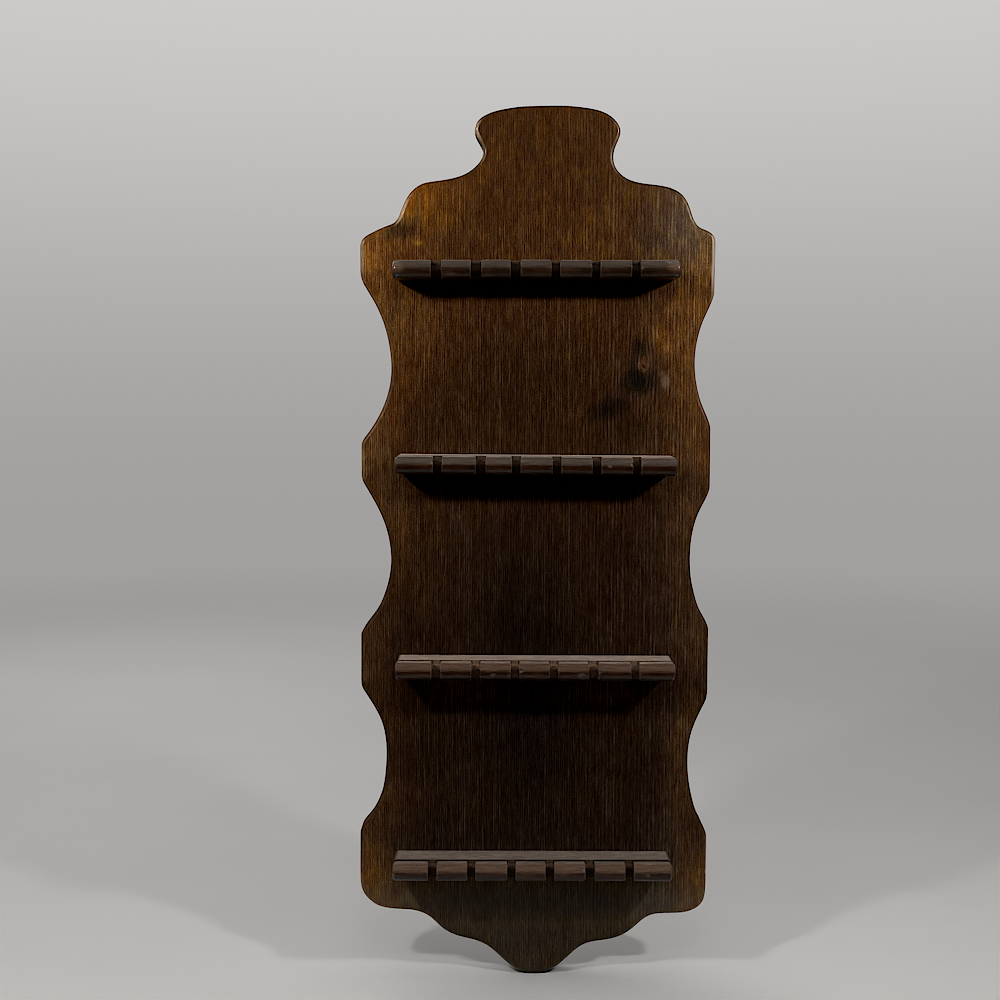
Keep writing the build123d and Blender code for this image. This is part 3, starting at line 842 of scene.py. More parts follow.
                    bottom_edge.insert(len(bottom_edge), lowp[0])
                    top_edge.insert(len(top_edge), highp[-1])
            for (la, wa, ha), (lb, wb, hb) in zip(strips, strips[1:]):
                for q in range(i):
                    b.face((la[q], lb[q], lb[q + 1], la[q + 1]), 0)
                chain_a = [la[i]] + list(wa) + [ha[0]]
                chain_b = [lb[i]] + list(wb) + [hb[0]]
                for q in range(len(chain_a) - 1):
                    b.face((chain_a[q], chain_b[q], chain_b[q + 1], chain_a[q + 1]), 1)
                for q in range(len(ha) - 1):
                    b.face((ha[q], hb[q], hb[q + 1], ha[q + 1]),
                           1 if PK[j + q] == 3 else 0)
            for base, wall in ((left_row, strips[0][1]), (right_row, strips[-1][1])):
                loop = np.concatenate([base[i:j + 1], wall[::-1]])
                b.flat([loop], np.array([], int), [1, 2], mat=1)
        prev_last = prev
        if k == 0:
            cap0 = first
        cap1 = prev

    # the two ends, and the back with its screw holes
    b.flat([cap0], np.array([], int), [1, 2], mat=0)
    b.flat([cap1], np.array([], int), [1, 2], mat=0)
    co = np.vstack(b.co)
    bottom_edge = sorted(set(bottom_edge), key=lambda v: co[v][0])
    top_edge = sorted(set(top_edge), key=lambda v: co[v][0])
    loop = np.array(bottom_edge + top_edge[::-1])
    holes = []
    depth = SCREW_SINK + SCREW_LEN - BOARD_T
    for sx in (-SCREW_X, SCREW_X):
        c = circle(sx, 0, SCREW_SHANK_R, 16)
        rows = []
        for y in (0, -(depth - SCREW_POINT)):
            rows.append(b.add(np.c_[c[:, 0], np.full(16, y), c[:, 1]], grain=60.0))
        tip = b.add([(sx, -depth, 0)], grain=60.0)
        b.strip(rows[0], rows[1], mat=1)
        for q in range(16):
            b.face((rows[1][q], rows[1][(q + 1) % 16], tip[0]), 1)
        holes.append(rows[0])
    b.flat([loop] + holes, np.array([], int), [0, 2], mat=1)
    return b.build(name + "_finish", [finish, cut], sharp=40.0, place=place)


# ---------------------------------------------------------------------------
# Node graphs
# ---------------------------------------------------------------------------
class Graph:
    def __init__(self, name):
        self.mat = bpy.data.materials.new(name)
        self.mat.use_nodes = True
        self.t = self.mat.node_tree
        self.t.nodes.clear()
        self.out = self.t.nodes.new("ShaderNodeOutputMaterial")
        self.bsdf = self.t.nodes.new("ShaderNodeBsdfPrincipled")
        self.t.links.new(self.bsdf.outputs[0], self.out.inputs["Surface"])

    def put(self, socket, value):
        if isinstance(value, bpy.types.NodeSocket):
            self.t.links.new(value, socket)
        elif value is not None:
            if hasattr(socket.default_value, "__len__") and not hasattr(value, "__len__"):
                value = (value,) * len(socket.default_value)
            if hasattr(value, "__len__") and len(value) == 3 and len(socket.default_value) == 4:
                value = tuple(value) + (1.0,)
            socket.default_value = value

    def coords(self):
        tc = self.t.nodes.new("ShaderNodeTexCoord")
        return self.vec("MULTIPLY", tc.outputs["Object"], (1000, 1000, 1000))

    def vec(self, op, a, b=None):
        n = self.t.nodes.new("ShaderNodeVectorMath")
        n.operation = op
        self.put(n.inputs[0], a)
        if b is not None:
            self.put(n.inputs[3] if op == "SCALE" else n.inputs[1], b)
        return n.outputs["Value"] if op in ("LENGTH", "DOT_PRODUCT", "DISTANCE") else n.outputs[0]

    def xyz(self, v):
        n = self.t.nodes.new("ShaderNodeSeparateXYZ")
        self.put(n.inputs[0], v)
        return n.outputs[0], n.outputs[1], n.outputs[2]

    def join(self, x, y, z):
        n = self.t.nodes.new("ShaderNodeCombineXYZ")
        for i, v in enumerate((x, y, z)):
            self.put(n.inputs[i], v)
        return n.outputs[0]

    def m(self, op, a, b=None, c=None, clamp=False):
        n = self.t.nodes.new("ShaderNodeMath")
        n.operation = op
        n.use_clamp = clamp
        for i, v in enumerate((a, b, c)):
            if v is not None:
                self.put(n.inputs[i], v)
        return n.outputs[0]

    def m_vec(self, col, v):
        """A colour plus a number."""
        return self.vec("ADD", col, self.join(v, v, v))

    def add(self, *v):
        out = v[0]
        for k in v[1:]:
            out = self.m("ADD", out, k)
        return out

    def mul(self, *v):
        out = v[0]
        for k in v[1:]:
            out = self.m("MULTIPLY", out, k)
        return out

    def ramp(self, v, a, b, c=0.0, d=1.0, kind="SMOOTHSTEP"):
        n = self.t.nodes.new("ShaderNodeMapRange")
        n.interpolation_type = kind
        for i, k in enumerate((v, a, b, c, d)):
            self.put(n.inputs[i], k)
        return n.outputs[0]

    def noise(self, v, scale=1.0, detail=3.0, rough=0.5, distort=0.0, color=False):
        n = self.t.nodes.new("ShaderNodeTexNoise")
        n.noise_dimensions = "3D"
        self.put(n.inputs["Vector"], v)
        self.put(n.inputs["Scale"], scale)
        self.put(n.inputs["Detail"], detail)
        self.put(n.inputs["Roughness"], rough)
        self.put(n.inputs["Distortion"], distort)
        return n.outputs["Color" if color else "Fac"]

    def voronoi(self, v, scale=1.0, feature="F1", out="Distance", rand=1.0):
        n = self.t.nodes.new("ShaderNodeTexVoronoi")
        n.feature = feature
        self.put(n.inputs["Vector"], v)
        self.put(n.inputs["Scale"], scale)
        self.put(n.inputs["Randomness"], rand)
        return n.outputs[out]

    def stops(self, v, stops, kind="LINEAR"):
        n = self.t.nodes.new("ShaderNodeValToRGB")
        self.put(n.inputs[0], v)
        r = n.color_ramp
        r.interpolation = kind
        while len(r.elements) < len(stops):
            r.elements.new(0.5)
        for e, (pos, col) in zip(r.elements, stops):
            e.position = pos
            e.color = tuple(col) + (1.0,) if len(col) == 3 else (col[0],) * 3 + (1.0,)
        return n.outputs[0]

    def mix(self, fac, a, b, mode="MIX", clamp=True):
        n = self.t.nodes.new("ShaderNodeMix")
        n.data_type = "RGBA"
        n.blend_type = mode
        n.clamp_factor = clamp
        self.put(n.inputs[0], fac)
        self.put(n.inputs[6], a)
        self.put(n.inputs[7], b)
        return n.outputs[2]

    def scale(self, col, v):
        """A colour times a number."""
        return self.vec("SCALE", col, v)

    def attr(self, name, out="Fac"):
        n = self.t.nodes.new("ShaderNodeAttribute")
        n.attribute_name = name
        return n.outputs[out]

    def blob(self, x, z, cx, cz, rx, rz, turn=0.0, soft=1.0):
        """1 in the middle of an ellipse on the face, 0 outside it."""
        dx, dz = self.m("SUBTRACT", x, cx), self.m("SUBTRACT", z, cz)
        if turn:
            c, s = math.cos(math.radians(turn)), math.sin(math.radians(turn))
            dx, dz = (self.add(self.mul(dx, c), self.mul(dz, s)),
                      self.add(self.mul(dz, c), self.mul(dx, -s)))
        d = self.m("SQRT", self.add(self.m("POWER", self.mul(dx, 1 / rx), 2.0),
                                    self.m("POWER", self.mul(dz, 1 / rz), 2.0)))
        return self.ramp(d, 1.0, 1.0 - soft)

    def bump(self, height, strength, distance, normal=None):
        n = self.t.nodes.new("ShaderNodeBump")
        n.inputs["Strength"].default_value = strength
        n.inputs["Distance"].default_value = distance
        self.put(n.inputs["Height"], height)
        if normal is not None:
            self.put(n.inputs["Normal"], normal)
        return n.outputs[0]

    def normal_z(self):
        n = self.t.nodes.new("ShaderNodeNewGeometry")
        return self.xyz(n.outputs["Normal"])

    def set(self, name, value):
        self.put(self.bsdf.inputs[name], value)


def plank_material():
    g = Graph("brushed_stained_plank")
    co = g.coords()
    x, y, z = g.xyz(co)
    ridge, rim, inset = g.attr("ridge"), g.attr("rim"), g.attr("inset")
    line, side, back = g.attr("line"), g.attr("side"), g.attr("back")
    pocket = g.attr("pocket")

    # coordinates that follow the grain; the fibres wander a little across it
    wander = g.noise(g.vec("MULTIPLY", co, (0.22, 0.22, 0.085)), 1.0, 2.0, 0.6)
    u = g.add(line, g.mul(g.m("SUBTRACT", wander, 0.5), 0.9))
    gr = g.join(u, y, z)

    def centred(v, k):
        return g.mul(g.m("SUBTRACT", v, 0.5), k)

    comb = g.noise(g.vec("MULTIPLY", gr, (0.55, 0.55, 0.030)), 1.0, 1.0, 0.5)
    fibre = g.noise(g.vec("MULTIPLY", gr, (2.1, 2.1, 0.11)), 1.0, 0.6, 0.5)
    fine = g.noise(g.vec("MULTIPLY", gr, (2.5, 2.5, 0.26)), 1.0, 1.0, 0.5)
    broken = g.noise(g.vec("MULTIPLY", gr, (0.62, 0.62, 0.16)), 1.0, 2.0, 0.6)
    broad = g.noise(g.vec("MULTIPLY", gr, (0.11, 0.11, 0.0065)), 1.0, 3.0, 0.55)
    patch = g.noise(g.vec("MULTIPLY", co, (0.030, 0.030, 0.016)), 1.0, 4.0, 0.55, 0.6)
    mottle = g.noise(g.vec("MULTIPLY", co, (0.16, 0.16, 0.075)), 1.0, 3.0, 0.6, 0.4)
    hues = g.noise(g.vec("ADD", g.vec("MULTIPLY", co, (0.17, 0.17, 0.08)), (31.0, 7.0, 5.0)),
                   1.0, 3.0, 0.65, 0.5)
    speck = g.noise(g.vec("MULTIPLY", co, (0.9, 0.9, 0.6)), 1.0, 2.0, 0.6)
    pores = g.noise(g.vec("MULTIPLY", gr, (1.9, 1.9, 0.95)), 1.0, 1.0, 0.6)

    # brightness in doublings, partly stain and partly a painted fall-off of light:
    # paler at the top and towards the outer edges, darkest low down in the middle
    stain_and_painted_falloff = g.stops(g.ramp(z, -528.6, 24.0, kind="LINEAR"), [
        (0.0, (0.50,)), (0.055, (0.50,)), (0.10, (0.30,)), (0.16, (0.06,)), (0.25, (0.0,)),
        (0.35, (0.0,)), (0.48, (0.07,)), (0.60, (0.20,)), (0.70, (0.33,)), (0.80, (0.49,)),
        (0.88, (0.52,)), (1.0, (0.46,))], "LINEAR")
    tone = g.add(g.mul(stain_and_painted_falloff, 3.0), -6.05)
    ax = g.m("ABSOLUTE", g.add(x, 1.0))
    outer = g.ramp(g.add(ax, g.mul(centred(patch, 1.0), 50.0)), 52.0, 112.0)
    tone = g.add(tone, g.mul(outer, 1.15), g.mul(g.ramp(inset, 26.0, 2.0), 0.35))
    for cx, cz, rx, rz, turn, amount in (
            # wiped-thin and soaked places; the one at (-5, -345) is painted shade, deepening the lower
            # middle
            (-72, -32, 44, 34, 0, 1.1), (-98, -78, 26, 40, 0, 0.15), (-62, -120, 40, 60, 10, 0.5),
            (84, -108, 26, 50, 0, 0.35), (96, -66, 22, 32, 0, -0.25), (42, -52, 40, 34, 0, 0.3),
            (80, -119, 9, 19, 0, 0.7), (-101, -68, 13, 15, 0, 0.5),
            (90, -390, 26, 80, 0, 0.55), (-104, -462, 30, 34, 0, 0.6),
            (102, -465, 30, 34, 0, 0.35), (-5, -345, 50, 150, 0, -0.95), (8, -372, 46, 70, 0, -0.2), (-10, -140, 50, 55, 0, -0.3),
            (-66, -240, 34, 70, 0, 0.35), (-66, -350, 34, 60, 0, 0.0), (62, -345, 34, 60, 0, 0.1),
            (-68.5, -34, 2.4, 12, 3, 0.65), (-74, -60, 8, 5, 0, 0.7), (-58, -52, 5, 14, 0, 0.35)):
        tone = g.add(tone, g.mul(g.blob(x, z, cx, cz, rx, rz, turn), amount))
    tone = g.add(tone, centred(patch, 0.8), centred(broad, 0.4),
                 g.mul(centred(mottle, 1.0), g.ramp(outer, 0.0, 0.7, 0.8, 1.6)))
    # painted light: paler where the bottom rail's and the lower middle rail's shadows fall, to soften them;
    # painted shade at the very tip, against the floor's bounce light
    tone = g.add(tone, g.mul(g.ramp(g.m("ABSOLUTE", x), 92.0, 74.0), g.ramp(z, -455.0, -466.0),
                             g.ramp(z, -502.0, -494.0), g.ramp(z, -484.0, -470.0, 0.45, 0.85)),
                 g.mul(g.ramp(z, -489.0, -499.0), -0.8),
                 g.mul(g.ramp(g.m("ABSOLUTE", x), 74.0, 52.0), g.ramp(z, -328.0, -334.0),
                       g.ramp(z, -356.0, -347.0), 1.2))
    high = g.ramp(z, -190.0, -40.0, 0.45, 1.0)
    tone = g.add(tone, g.mul(g.ramp(hues, 0.42, 0.70, -0.12, 0.45), high))
    smudge = 0.0
    for cx, cz, rx, rz, turn, amount in (
            (46, -163.5, 21, 10, 24, -2.3), (65.5, -147.5, 18, 11.5, 8, -2.8), (-90, -103, 9, 15, 0, -0.9),
            (58, -178, 26, 20, 0, -0.5), (66.5, -126.5, 11.5, 8.5, 0, -1.7), (62, -139, 6, 13, 0, -1.4),
            (-83, -52, 16, 10, 12, -1.5), (-92, -42, 12, 7, 20, -0.9), (88, -28, 12, 6, -20, -0.6)):
        smudge = g.add(g.mul(g.blob(x, z, cx, cz, rx, rz, turn), amount), smudge)
    soaked = g.add(tone, smudge)

    # colours here are square-rooted (2.2), the way an eye spaces them. Thin
    # stain is golden and deep stain nearly neutral.
    value = g.m("POWER", 2.0, g.mul(soaked, 1 / 2.2))
    greyness = g.add(
        g.mul(g.blob(x, z, 96, -50, 46, 46), 0.8), g.ramp(x, 48.0, 92.0, 0.0, 0.36),
        g.mul(g.ramp(x, 12.0, 44.0), g.ramp(z, -90.0, -60.0), 0.25),
        g.mul(g.ramp(z, -410.0, -450.0, 0.0, 0.4), g.ramp(g.m("ABSOLUTE", x), 104.0, 84.0, 0.2, 1.0)),
        g.ramp(z, -462.0, -478.0, 0.0, 0.45), g.ramp(z, -486.0, -502.0, 0.0, -0.40),
        g.mul(g.ramp(x, -78.0, -104.0), 0.25),
        g.mul(g.blob(x, z, 64, -146, 26, 28), 0.3), g.mul(g.blob(x, z, -86, -50, 24, 15), 0.5),
        g.mul(g.blob(x, z, -86, -108, 26, 34), 0.3),
        g.ramp(patch, 0.55, 0.74, -0.08, 0.3))
    golden = g.mul(g.ramp(hues, 0.47, 0.66), high)
    ruddy = g.ramp(hues, 0.48, 0.28)
    sunny = g.blob(x, z, -70, -40, 36, 30)
    golden = g.add(g.mul(golden, 0.8), g.mul(sunny, 0.6))
    ruddy = g.mul(ruddy, g.m("SUBTRACT", 1.0, sunny))
    low = g.ramp(z, -466.0, -492.0)
    deep = g.ramp(z, -150.0, -300.0)
    stained = g.ramp(smudge, -0.6, -2.0, 1.0, 0.72)
    green = g.mul(g.add(0.010, g.mul(value, 0.60), g.mul(deep, 0.009)), g.add(
        1.0, g.mul(greyness, 0.20), g.mul(golden, 0.05), g.mul(ruddy, -0.06), g.mul(low, 0.06)))
    blue = g.mul(g.m("MINIMUM", g.add(0.045, g.mul(value, 0.16)), g.mul(value, 0.60)), g.add(
        1.0, g.mul(greyness, 0.78), g.mul(golden, -0.26), g.mul(ruddy, -0.10), g.mul(low, 0.30)),
        stained)
    # painted light: more green and blue in the bottom rail's shadow
    painted_lift_below_bottom_rail = g.mul(g.ramp(g.m("ABSOLUTE", x), 92.0, 76.0), g.ramp(z, -455.0, -464.0),
                 g.ramp(z, -496.0, -480.0, 0.2, 1.0))
    tip = g.ramp(z, -486.0, -498.0)
    green = g.add(green, g.mul(painted_lift_below_bottom_rail, 0.018), g.mul(tip, 0.006))
    blue = g.add(blue, g.mul(deep, 0.016), g.mul(painted_lift_below_bottom_rail, 0.022), g.mul(tip, -0.010))
    base = g.join(g.mul(value, g.add(1.0, g.mul(golden, 0.02))), green, blue)

    # brushed lines: pale crests over dark grooves
    crest = g.mul(ridge, g.ramp(broken, 0.36, 0.62, 0.5, 1.35, kind="LINEAR"))
    swell = g.ramp(broken, 0.30, 0.68, 0.6, 1.3, kind="LINEAR")
    lines = g.add(centred(comb, 0.15), g.mul(centred(fibre, 2.6), swell), centred(fine, 3.5),
                  centred(pores, 3.4), g.mul(g.m("SUBTRACT", crest, 0.23), 2.1))
    lines = g.m("MINIMUM", g.m("MAXIMUM", lines, -2.2), 2.6)
    amp = g.add(0.020, g.mul(g.m("POWER", 2.0, g.mul(tone, 1 / 2.2)), 0.045), g.mul(value, 0.11))
    amp = g.mul(amp, g.ramp(z, -90.0, -10.0, 0.92, 0.68), g.ramp(z, -458.0, -486.0, 1.0, 0.55), g.ramp(z, -486.0, -503.0, 1.0, 1.5),
                g.ramp(z, -170.0, -240.0, 1.0, 0.93))
    lines = g.mul(lines, amp, g.ramp(speck, 0.25, 0.75, 0.85, 1.15, kind="LINEAR"))

    def finish(rooted, line_share):
        """Root colour with its lines, back to plain colour, less the little
        white light that the surface's own gloss adds."""
        r, gg, b = g.xyz(g.m_vec(rooted, g.mul(lines, line_share)))
        less = g.ramp(z, -170.0, -10.0, -0.0005, -0.0022, kind="LINEAR")
        out = [g.m("MAXIMUM", g.add(g.m("POWER", g.m("MAXIMUM", c, 0.0), 2.2), less), 0.0003)
               for c in (r, gg, b)]
        return g.join(*out)

    # the knot: pale wood round a dark eye
    kd = g.m("SQRT", g.add(
        g.m("POWER", g.mul(g.m("SUBTRACT", x, KNOT[0]), 1 / 3.0), 2.0),
        g.m("POWER", g.mul(g.m("SUBTRACT", z, KNOT[1]), 1 / 4.9), 2.0)))
    kn = g.noise(g.vec("MULTIPLY", co, (0.9, 0.9, 0.6)), 1.0, 3.0, 0.6)
    diamond = g.add(g.mul(g.m("ABSOLUTE", g.m("SUBTRACT", x, KNOT[0])), 1 / 3.5),
                    g.mul(g.m("ABSOLUTE", g.m("SUBTRACT", z, KNOT[1])), 1 / 6.2))
    kd = g.add(g.mul(kd, 0.45), g.mul(diamond, 0.55))
    kd = g.add(kd, g.mul(g.m("SUBTRACT", kn, 0.5), 1.4))
    rings = g.m("SINE", g.mul(kd, 15.0))
    knot_col = g.mix(g.ramp(rings, -1, 1), (0.355, 0.245, 0.165), (0.265, 0.178, 0.118))
    knot_col = g.scale(knot_col, g.ramp(kn, 0.3, 0.7, 0.82, 1.15, kind="LINEAR"))
    base = g.mix(g.mul(g.ramp(kd, 1.40, 0.55), 0.95), base, knot_col)
    base = g.mix(g.mul(g.ramp(kd, 0.95, 1.25), g.ramp(kd, 1.9, 1.25), 0.4), base,
                 (0.125, 0.090, 0.062))
    eye = g.add(g.blob(x, z, 67.9, -137.2, 1.25, 2.5, 38, soft=1.0),
                g.mul(g.m("SUBTRACT", kn, 0.5), 0.8))
    base = g.mix(g.mul(g.ramp(eye, 0.1, 0.6), 0.85), base, (0.150, 0.095, 0.066))
    base = g.mix(g.mul(g.blob(x, z, 69.9, -132.6, 1.6, 3.6, 0, soft=0.9), 0.7), base,
                 (0.175, 0.105, 0.062))
    base = g.mix(g.mul(g.blob(x, z, 64.7, -136.0, 1.3, 5.0, -4, soft=0.8), 0.75), base,
                 (0.34, 0.265, 0.215))
    # a pale rubbed spot beside it, and a small yellow one
    rub = g.m("MAXIMUM", g.blob(x, z, 81.5, -147.0, 4.6, 7.0, 4, soft=0.7),
              g.mul(g.blob(x, z, 79.5, -142.2, 3.4, 4.4, 0, soft=0.9), 0.7))
    rub = g.mul(rub, g.ramp(speck, 0.25, 0.6, 0.65, 1.0))
    base = g.mix(g.mul(rub, 0.92), base, (0.385, 0.310, 0.250))
    spot = g.blob(x, z, -73.4, -60.7, 3.4, 2.0, 0, soft=0.8)
    base = g.mix(g.mul(spot, 0.6), base, (0.49, 0.37, 0.12))
    face = finish(base, g.mul(g.ramp(kd, 0.6, 1.5, 0.4, 1.0), g.ramp(rub, 0.2, 0.9, 1.0, 0.5)))

    # the rounded edge: dark where it faces up; pale on its left- and right-facing sides and on the upper
    # lobes and ears, partly rubbed wood and partly a painted highlight where the side lamps catch it; the
    # grain nearly sanded out
    nx, ny, nz = g.normal_z()
    rubbed_and_highlight = g.noise(g.vec("MULTIPLY", co, (0.16, 0.16, 0.10)), 1.0, 3.0, 0.6)
    rubbed_and_highlight = g.mul(g.ramp(rubbed_and_highlight, 0.28, 0.56, 0.35, 1.0), g.ramp(z, -300.0, -40.0, 0.12, 1.0),
                   g.ramp(g.m("ABSOLUTE", nx), 0.12, 0.42))
    # pale patches on the lobes and ears: partly bare wood, partly a painted highlight
    bare_and_highlight = 0.0
    for cx, cz, rx, rz, amount in ((-38, 8, 7, 15, 0.9), (-84, -40, 9, 19, 0.8),
                                   (-110, -68, 6, 24, 0.6), (112, -72, 8, 34, 1.0),
                                   (53, 8, 6, 13, 0.35), (-110, -196, 6, 22, 0.5)):
        bare_and_highlight = g.m("MAXIMUM", bare_and_highlight, g.mul(g.blob(x, z, cx, cz, rx, rz, soft=0.7), amount))
    rubbed_and_highlight = g.m("MAXIMUM", g.mul(rubbed_and_highlight, g.add(
        0.75, g.mul(g.ramp(x, 0.0, 40.0), g.ramp(z, -92.0, -104.0), -0.45))), bare_and_highlight)
    rimcol = g.mix(g.mul(rubbed_and_highlight, 0.85), g.scale(face, 1.15),
                   g.mix(bare_and_highlight, (0.20, 0.120, 0.056), g.mix(g.ramp(x, 60.0, 100.0), (0.60, 0.44, 0.27),
                                                             (0.50, 0.41, 0.33))))
    rimcol = g.mix(g.ramp(nz, 0.25, 0.60), rimcol, g.scale(face, 0.55))
    face = g.mix(g.mul(rim, g.ramp(fibre, 0.3, 0.6, 0.5, 0.95)), face, rimcol)

    # the sawn side: dark where the end grain drank the stain
    saw = g.noise(g.vec("MULTIPLY", co, (0.9, 0.10, 0.9)), 1.0, 3.0, 0.6)
    sidecol = g.mix(g.ramp(saw, 0.3, 0.7), (0.024, 0.0120, 0.0060), (0.072, 0.0350, 0.0160))
    sidecol = g.scale(sidecol, g.ramp(g.noise(g.vec("MULTIPLY", co, (0.05, 0.25, 0.05))),
                                      0.3, 0.7, 0.6, 1.35))
    col = g.mix(side, face, sidecol)

    # the back: thinner, uneven stain with planer marks and some bare wood
    fig = g.noise(g.vec("MULTIPLY", co, (0.085, 0.085, 0.0062)), 1.0, 2.0, 0.5)
    bands = g.m("SINE", g.mul(g.add(fig, g.mul(x, 0.004)), 75.0))
    backcol = g.mix(g.ramp(bands, -1.0, 1.0), (0.16, 0.088, 0.042), (0.245, 0.150, 0.080))
    backcol = g.scale(backcol, g.ramp(fibre, 0.25, 0.75, 0.72, 1.22, kind="LINEAR"))
    blot = g.noise(g.vec("MULTIPLY", co, (0.017, 0.017, 0.010)), 1.0, 4.0, 0.6, 1.0)
    backcol = g.mix(g.ramp(blot, 0.42, 0.68, 0.0, 0.75), backcol, (0.055, 0.027, 0.012))
    wrap = g.ramp(inset, 12.0, 1.0)
    wrap = g.mul(wrap, g.ramp(g.noise(g.vec("MULTIPLY", co, (0.09, 0.09, 0.05)), 1.0, 3.0),
                              0.35, 0.62))
    backcol = g.mix(wrap, backcol, (0.030, 0.015, 0.008))
    backcol = g.mix(g.mul(pocket, 0.55), backcol, g.mix(
        g.ramp(fine, 0.3, 0.7), (0.20, 0.125, 0.068), (0.30, 0.20, 0.115)))
    col = g.mix(back, col, backcol)
    g.set("Base Color", col)

    rough = g.ramp(fibre, 0.25, 0.75, 0.60, 0.46, kind="LINEAR")
    rough = g.add(rough, g.mul(rim, -0.12), g.mul(back, 0.18), g.mul(side, 0.16))
    rough = g.add(rough, g.ramp(patch, 0.3, 0.7, -0.06, 0.06, kind="LINEAR"))
    g.set("Roughness", rough)
    g.set("Specular IOR Level", 0.06)
    # rubbed by hands, the rounded edge has a shine that the brushed face lacks
    g.set("Coat Weight", g.mul(rim, g.ramp(fine, 0.30, 0.60, 0.35, 0.9),
                               g.ramp(nz, 0.5, 0.15), g.ramp(g.m("ABSOLUTE", nx), 0.1, 0.3),
                               g.ramp(y, -9.0, -13.0)))
    g.set("Coat Roughness", 0.27)

    tool = g.m("SINE", g.mul(g.add(z, g.mul(g.noise(g.vec("MULTIPLY", co, (0.05, 0.05, 0.05))), 3.0)), 2.1))
    height = g.add(g.mul(comb, 0.5), g.mul(fibre, 1.0), g.mul(fine, 0.5), g.mul(tool, back, 0.12))
    g.set("Normal", g.bump(height, 0.8, 0.00030))
    return g.mat


def rail_material():
    g = Graph("dark_satin_rail")
    co = g.coords()
    x, y, z = g.xyz(co)
    edge, grain = g.attr("edge"), g.attr("grain")
    nx, ny, nz = g.normal_z()
    # grain runs along the rail
    fibre = g.noise(g.vec("MULTIPLY", co, (0.085, 1.7, 1.7)), 1.0, 3.0, 0.6)
    fine = g.noise(g.vec("MULTIPLY", co, (0.42, 3.4, 3.4)), 1.0, 2.0, 0.6)
    patch = g.noise(g.vec("MULTIPLY", co, (0.06, 0.16, 0.06)), 1.0, 3.0, 0.6, 0.5)
    grit = g.noise(g.vec("MULTIPLY", co, (1.5, 2.0, 2.0)), 1.0, 2.0, 0.6)
    tone = g.add(-6.05, g.mul(g.m("SUBTRACT", fibre, 0.5), 5.0),
                 g.mul(g.m("SUBTRACT", fine, 0.5), 3.0), g.mul(g.m("SUBTRACT", patch, 0.5), 3.4))
    # the top rail's brown is a little greyer than the rest, and dustier
    grey = g.add(g.ramp(z, -160.0, -110.0), g.ramp(z, -400.0, -430.0, 0.0, 0.25))
    base = g.join(*[g.m("POWER", 2.0, g.mul(g.add(tone, off, g.mul(grey, more)), k))
                    for off, more, k in ((0.0, 0.0, 1.0), (-1.45, 0.45, 1.03),
                                         (-2.5, 0.65, 1.06))])
    # fine settled dust from the middle of the nose upwards
    dustn = g.noise(g.vec("MULTIPLY", co, (0.14, 1.3, 1.3)), 1.0, 4.0, 0.65)
    edge_line = g.add(nz, g.mul(g.m("SUBTRACT", dustn, 0.5), 0.55))
    film = g.ramp(edge_line, -0.02, 0.34)
    film = g.mul(film, g.ramp(fine, 0.25, 0.72, 1.0, 0.62, kind="LINEAR"))
    mixed = g.ramp(g.add(g.mul(fibre, 0.40), g.mul(fine, 0.35), g.mul(grit, 0.25)), 0.31, 0.69)
    filmcol = g.mix(mixed, (0.031, 0.0165, 0.0095), (0.118, 0.070, 0.048))
    dusty = g.add(g.ramp(z, -300.0, -215.0), g.ramp(z, -380.0, -430.0, 0.0, 0.15))
    filmcol = g.mix(dusty, filmcol, g.mix(mixed, (0.030, 0.0225, 0.0170), (0.115, 0.0900, 0.0710)))
    # painted light: the film is paler on the lower rails
    filmcol = g.scale(filmcol, g.ramp(z, -79.0, -454.0, 0.66, 1.42, kind="LINEAR"))
    col = g.mix(g.mul(film, 0.86), base, filmcol)
    # the top faces: pale settled dust; painted light makes it brighter on the rails higher up and darkest
    # on the bottom rail
    top = g.ramp(g.add(nz, g.mul(g.m("SUBTRACT", grit, 0.5), 0.14)), 0.90, 1.0)
    topcol = g.mix(g.ramp(dustn, 0.35, 0.65), (0.19, 0.142, 0.112), (0.42, 0.350, 0.300))
    topcol = g.scale(topcol, g.ramp(z, -454.0, -199.0, 0.52, 1.55, kind="LINEAR"))
    topcol = g.scale(topcol, g.ramp(patch, 0.32, 0.68, 0.78, 1.2, kind="LINEAR"))
    topcol = g.scale(topcol, g.ramp(y, -35.0, -34.0, 0.72, 1.0))
    top = g.mul(top, g.ramp(grit, 0.28, 0.55, 0.55, 0.95))
    col = g.mix(top, col, topcol)
    # worn edges show paler wood
    wear = g.mul(edge, g.ramp(dustn, 0.34, 0.62, 0.15, 1.0))
    wearcol = g.mix(g.ramp(fine, 0.3, 0.7), (0.055, 0.036, 0.025), (0.170, 0.125, 0.096))
    wearcol = g.scale(wearcol, g.ramp(nz, -0.6, 0.3, 0.35, 1.0))
    col = g.mix(g.mul(wear, 0.85), col, wearcol)
    # the top rail's two ends are paler: a painted highlight where the lamps catch the rounded ends
    ends = g.m("MAXIMUM", g.blob(x, z, -85.5, -78.0, 7.0, 4.6, 0, soft=0.8),
               g.blob(x, z, 84.0, -77.8, 7.0, 4.6, 0, soft=0.8))
    col = g.mix(g.mul(ends, g.ramp(grit, 0.3, 0.6, 0.55, 0.9)), col,
                g.mix(g.ramp(fibre, 0.35, 0.65), (0.062, 0.031, 0.017), (0.120, 0.070, 0.044)))
    g.set("Base Color", col)
    rough = g.add(g.ramp(fibre, 0.25, 0.75, 0.52, 0.40, kind="LINEAR"), g.mul(film, 0.22),
                  g.mul(edge, 0.05))
    g.set("Roughness", rough)
    g.set("Specular IOR Level", 0.12)
    g.set("Specular Tint", (1.0, 0.80, 0.66))
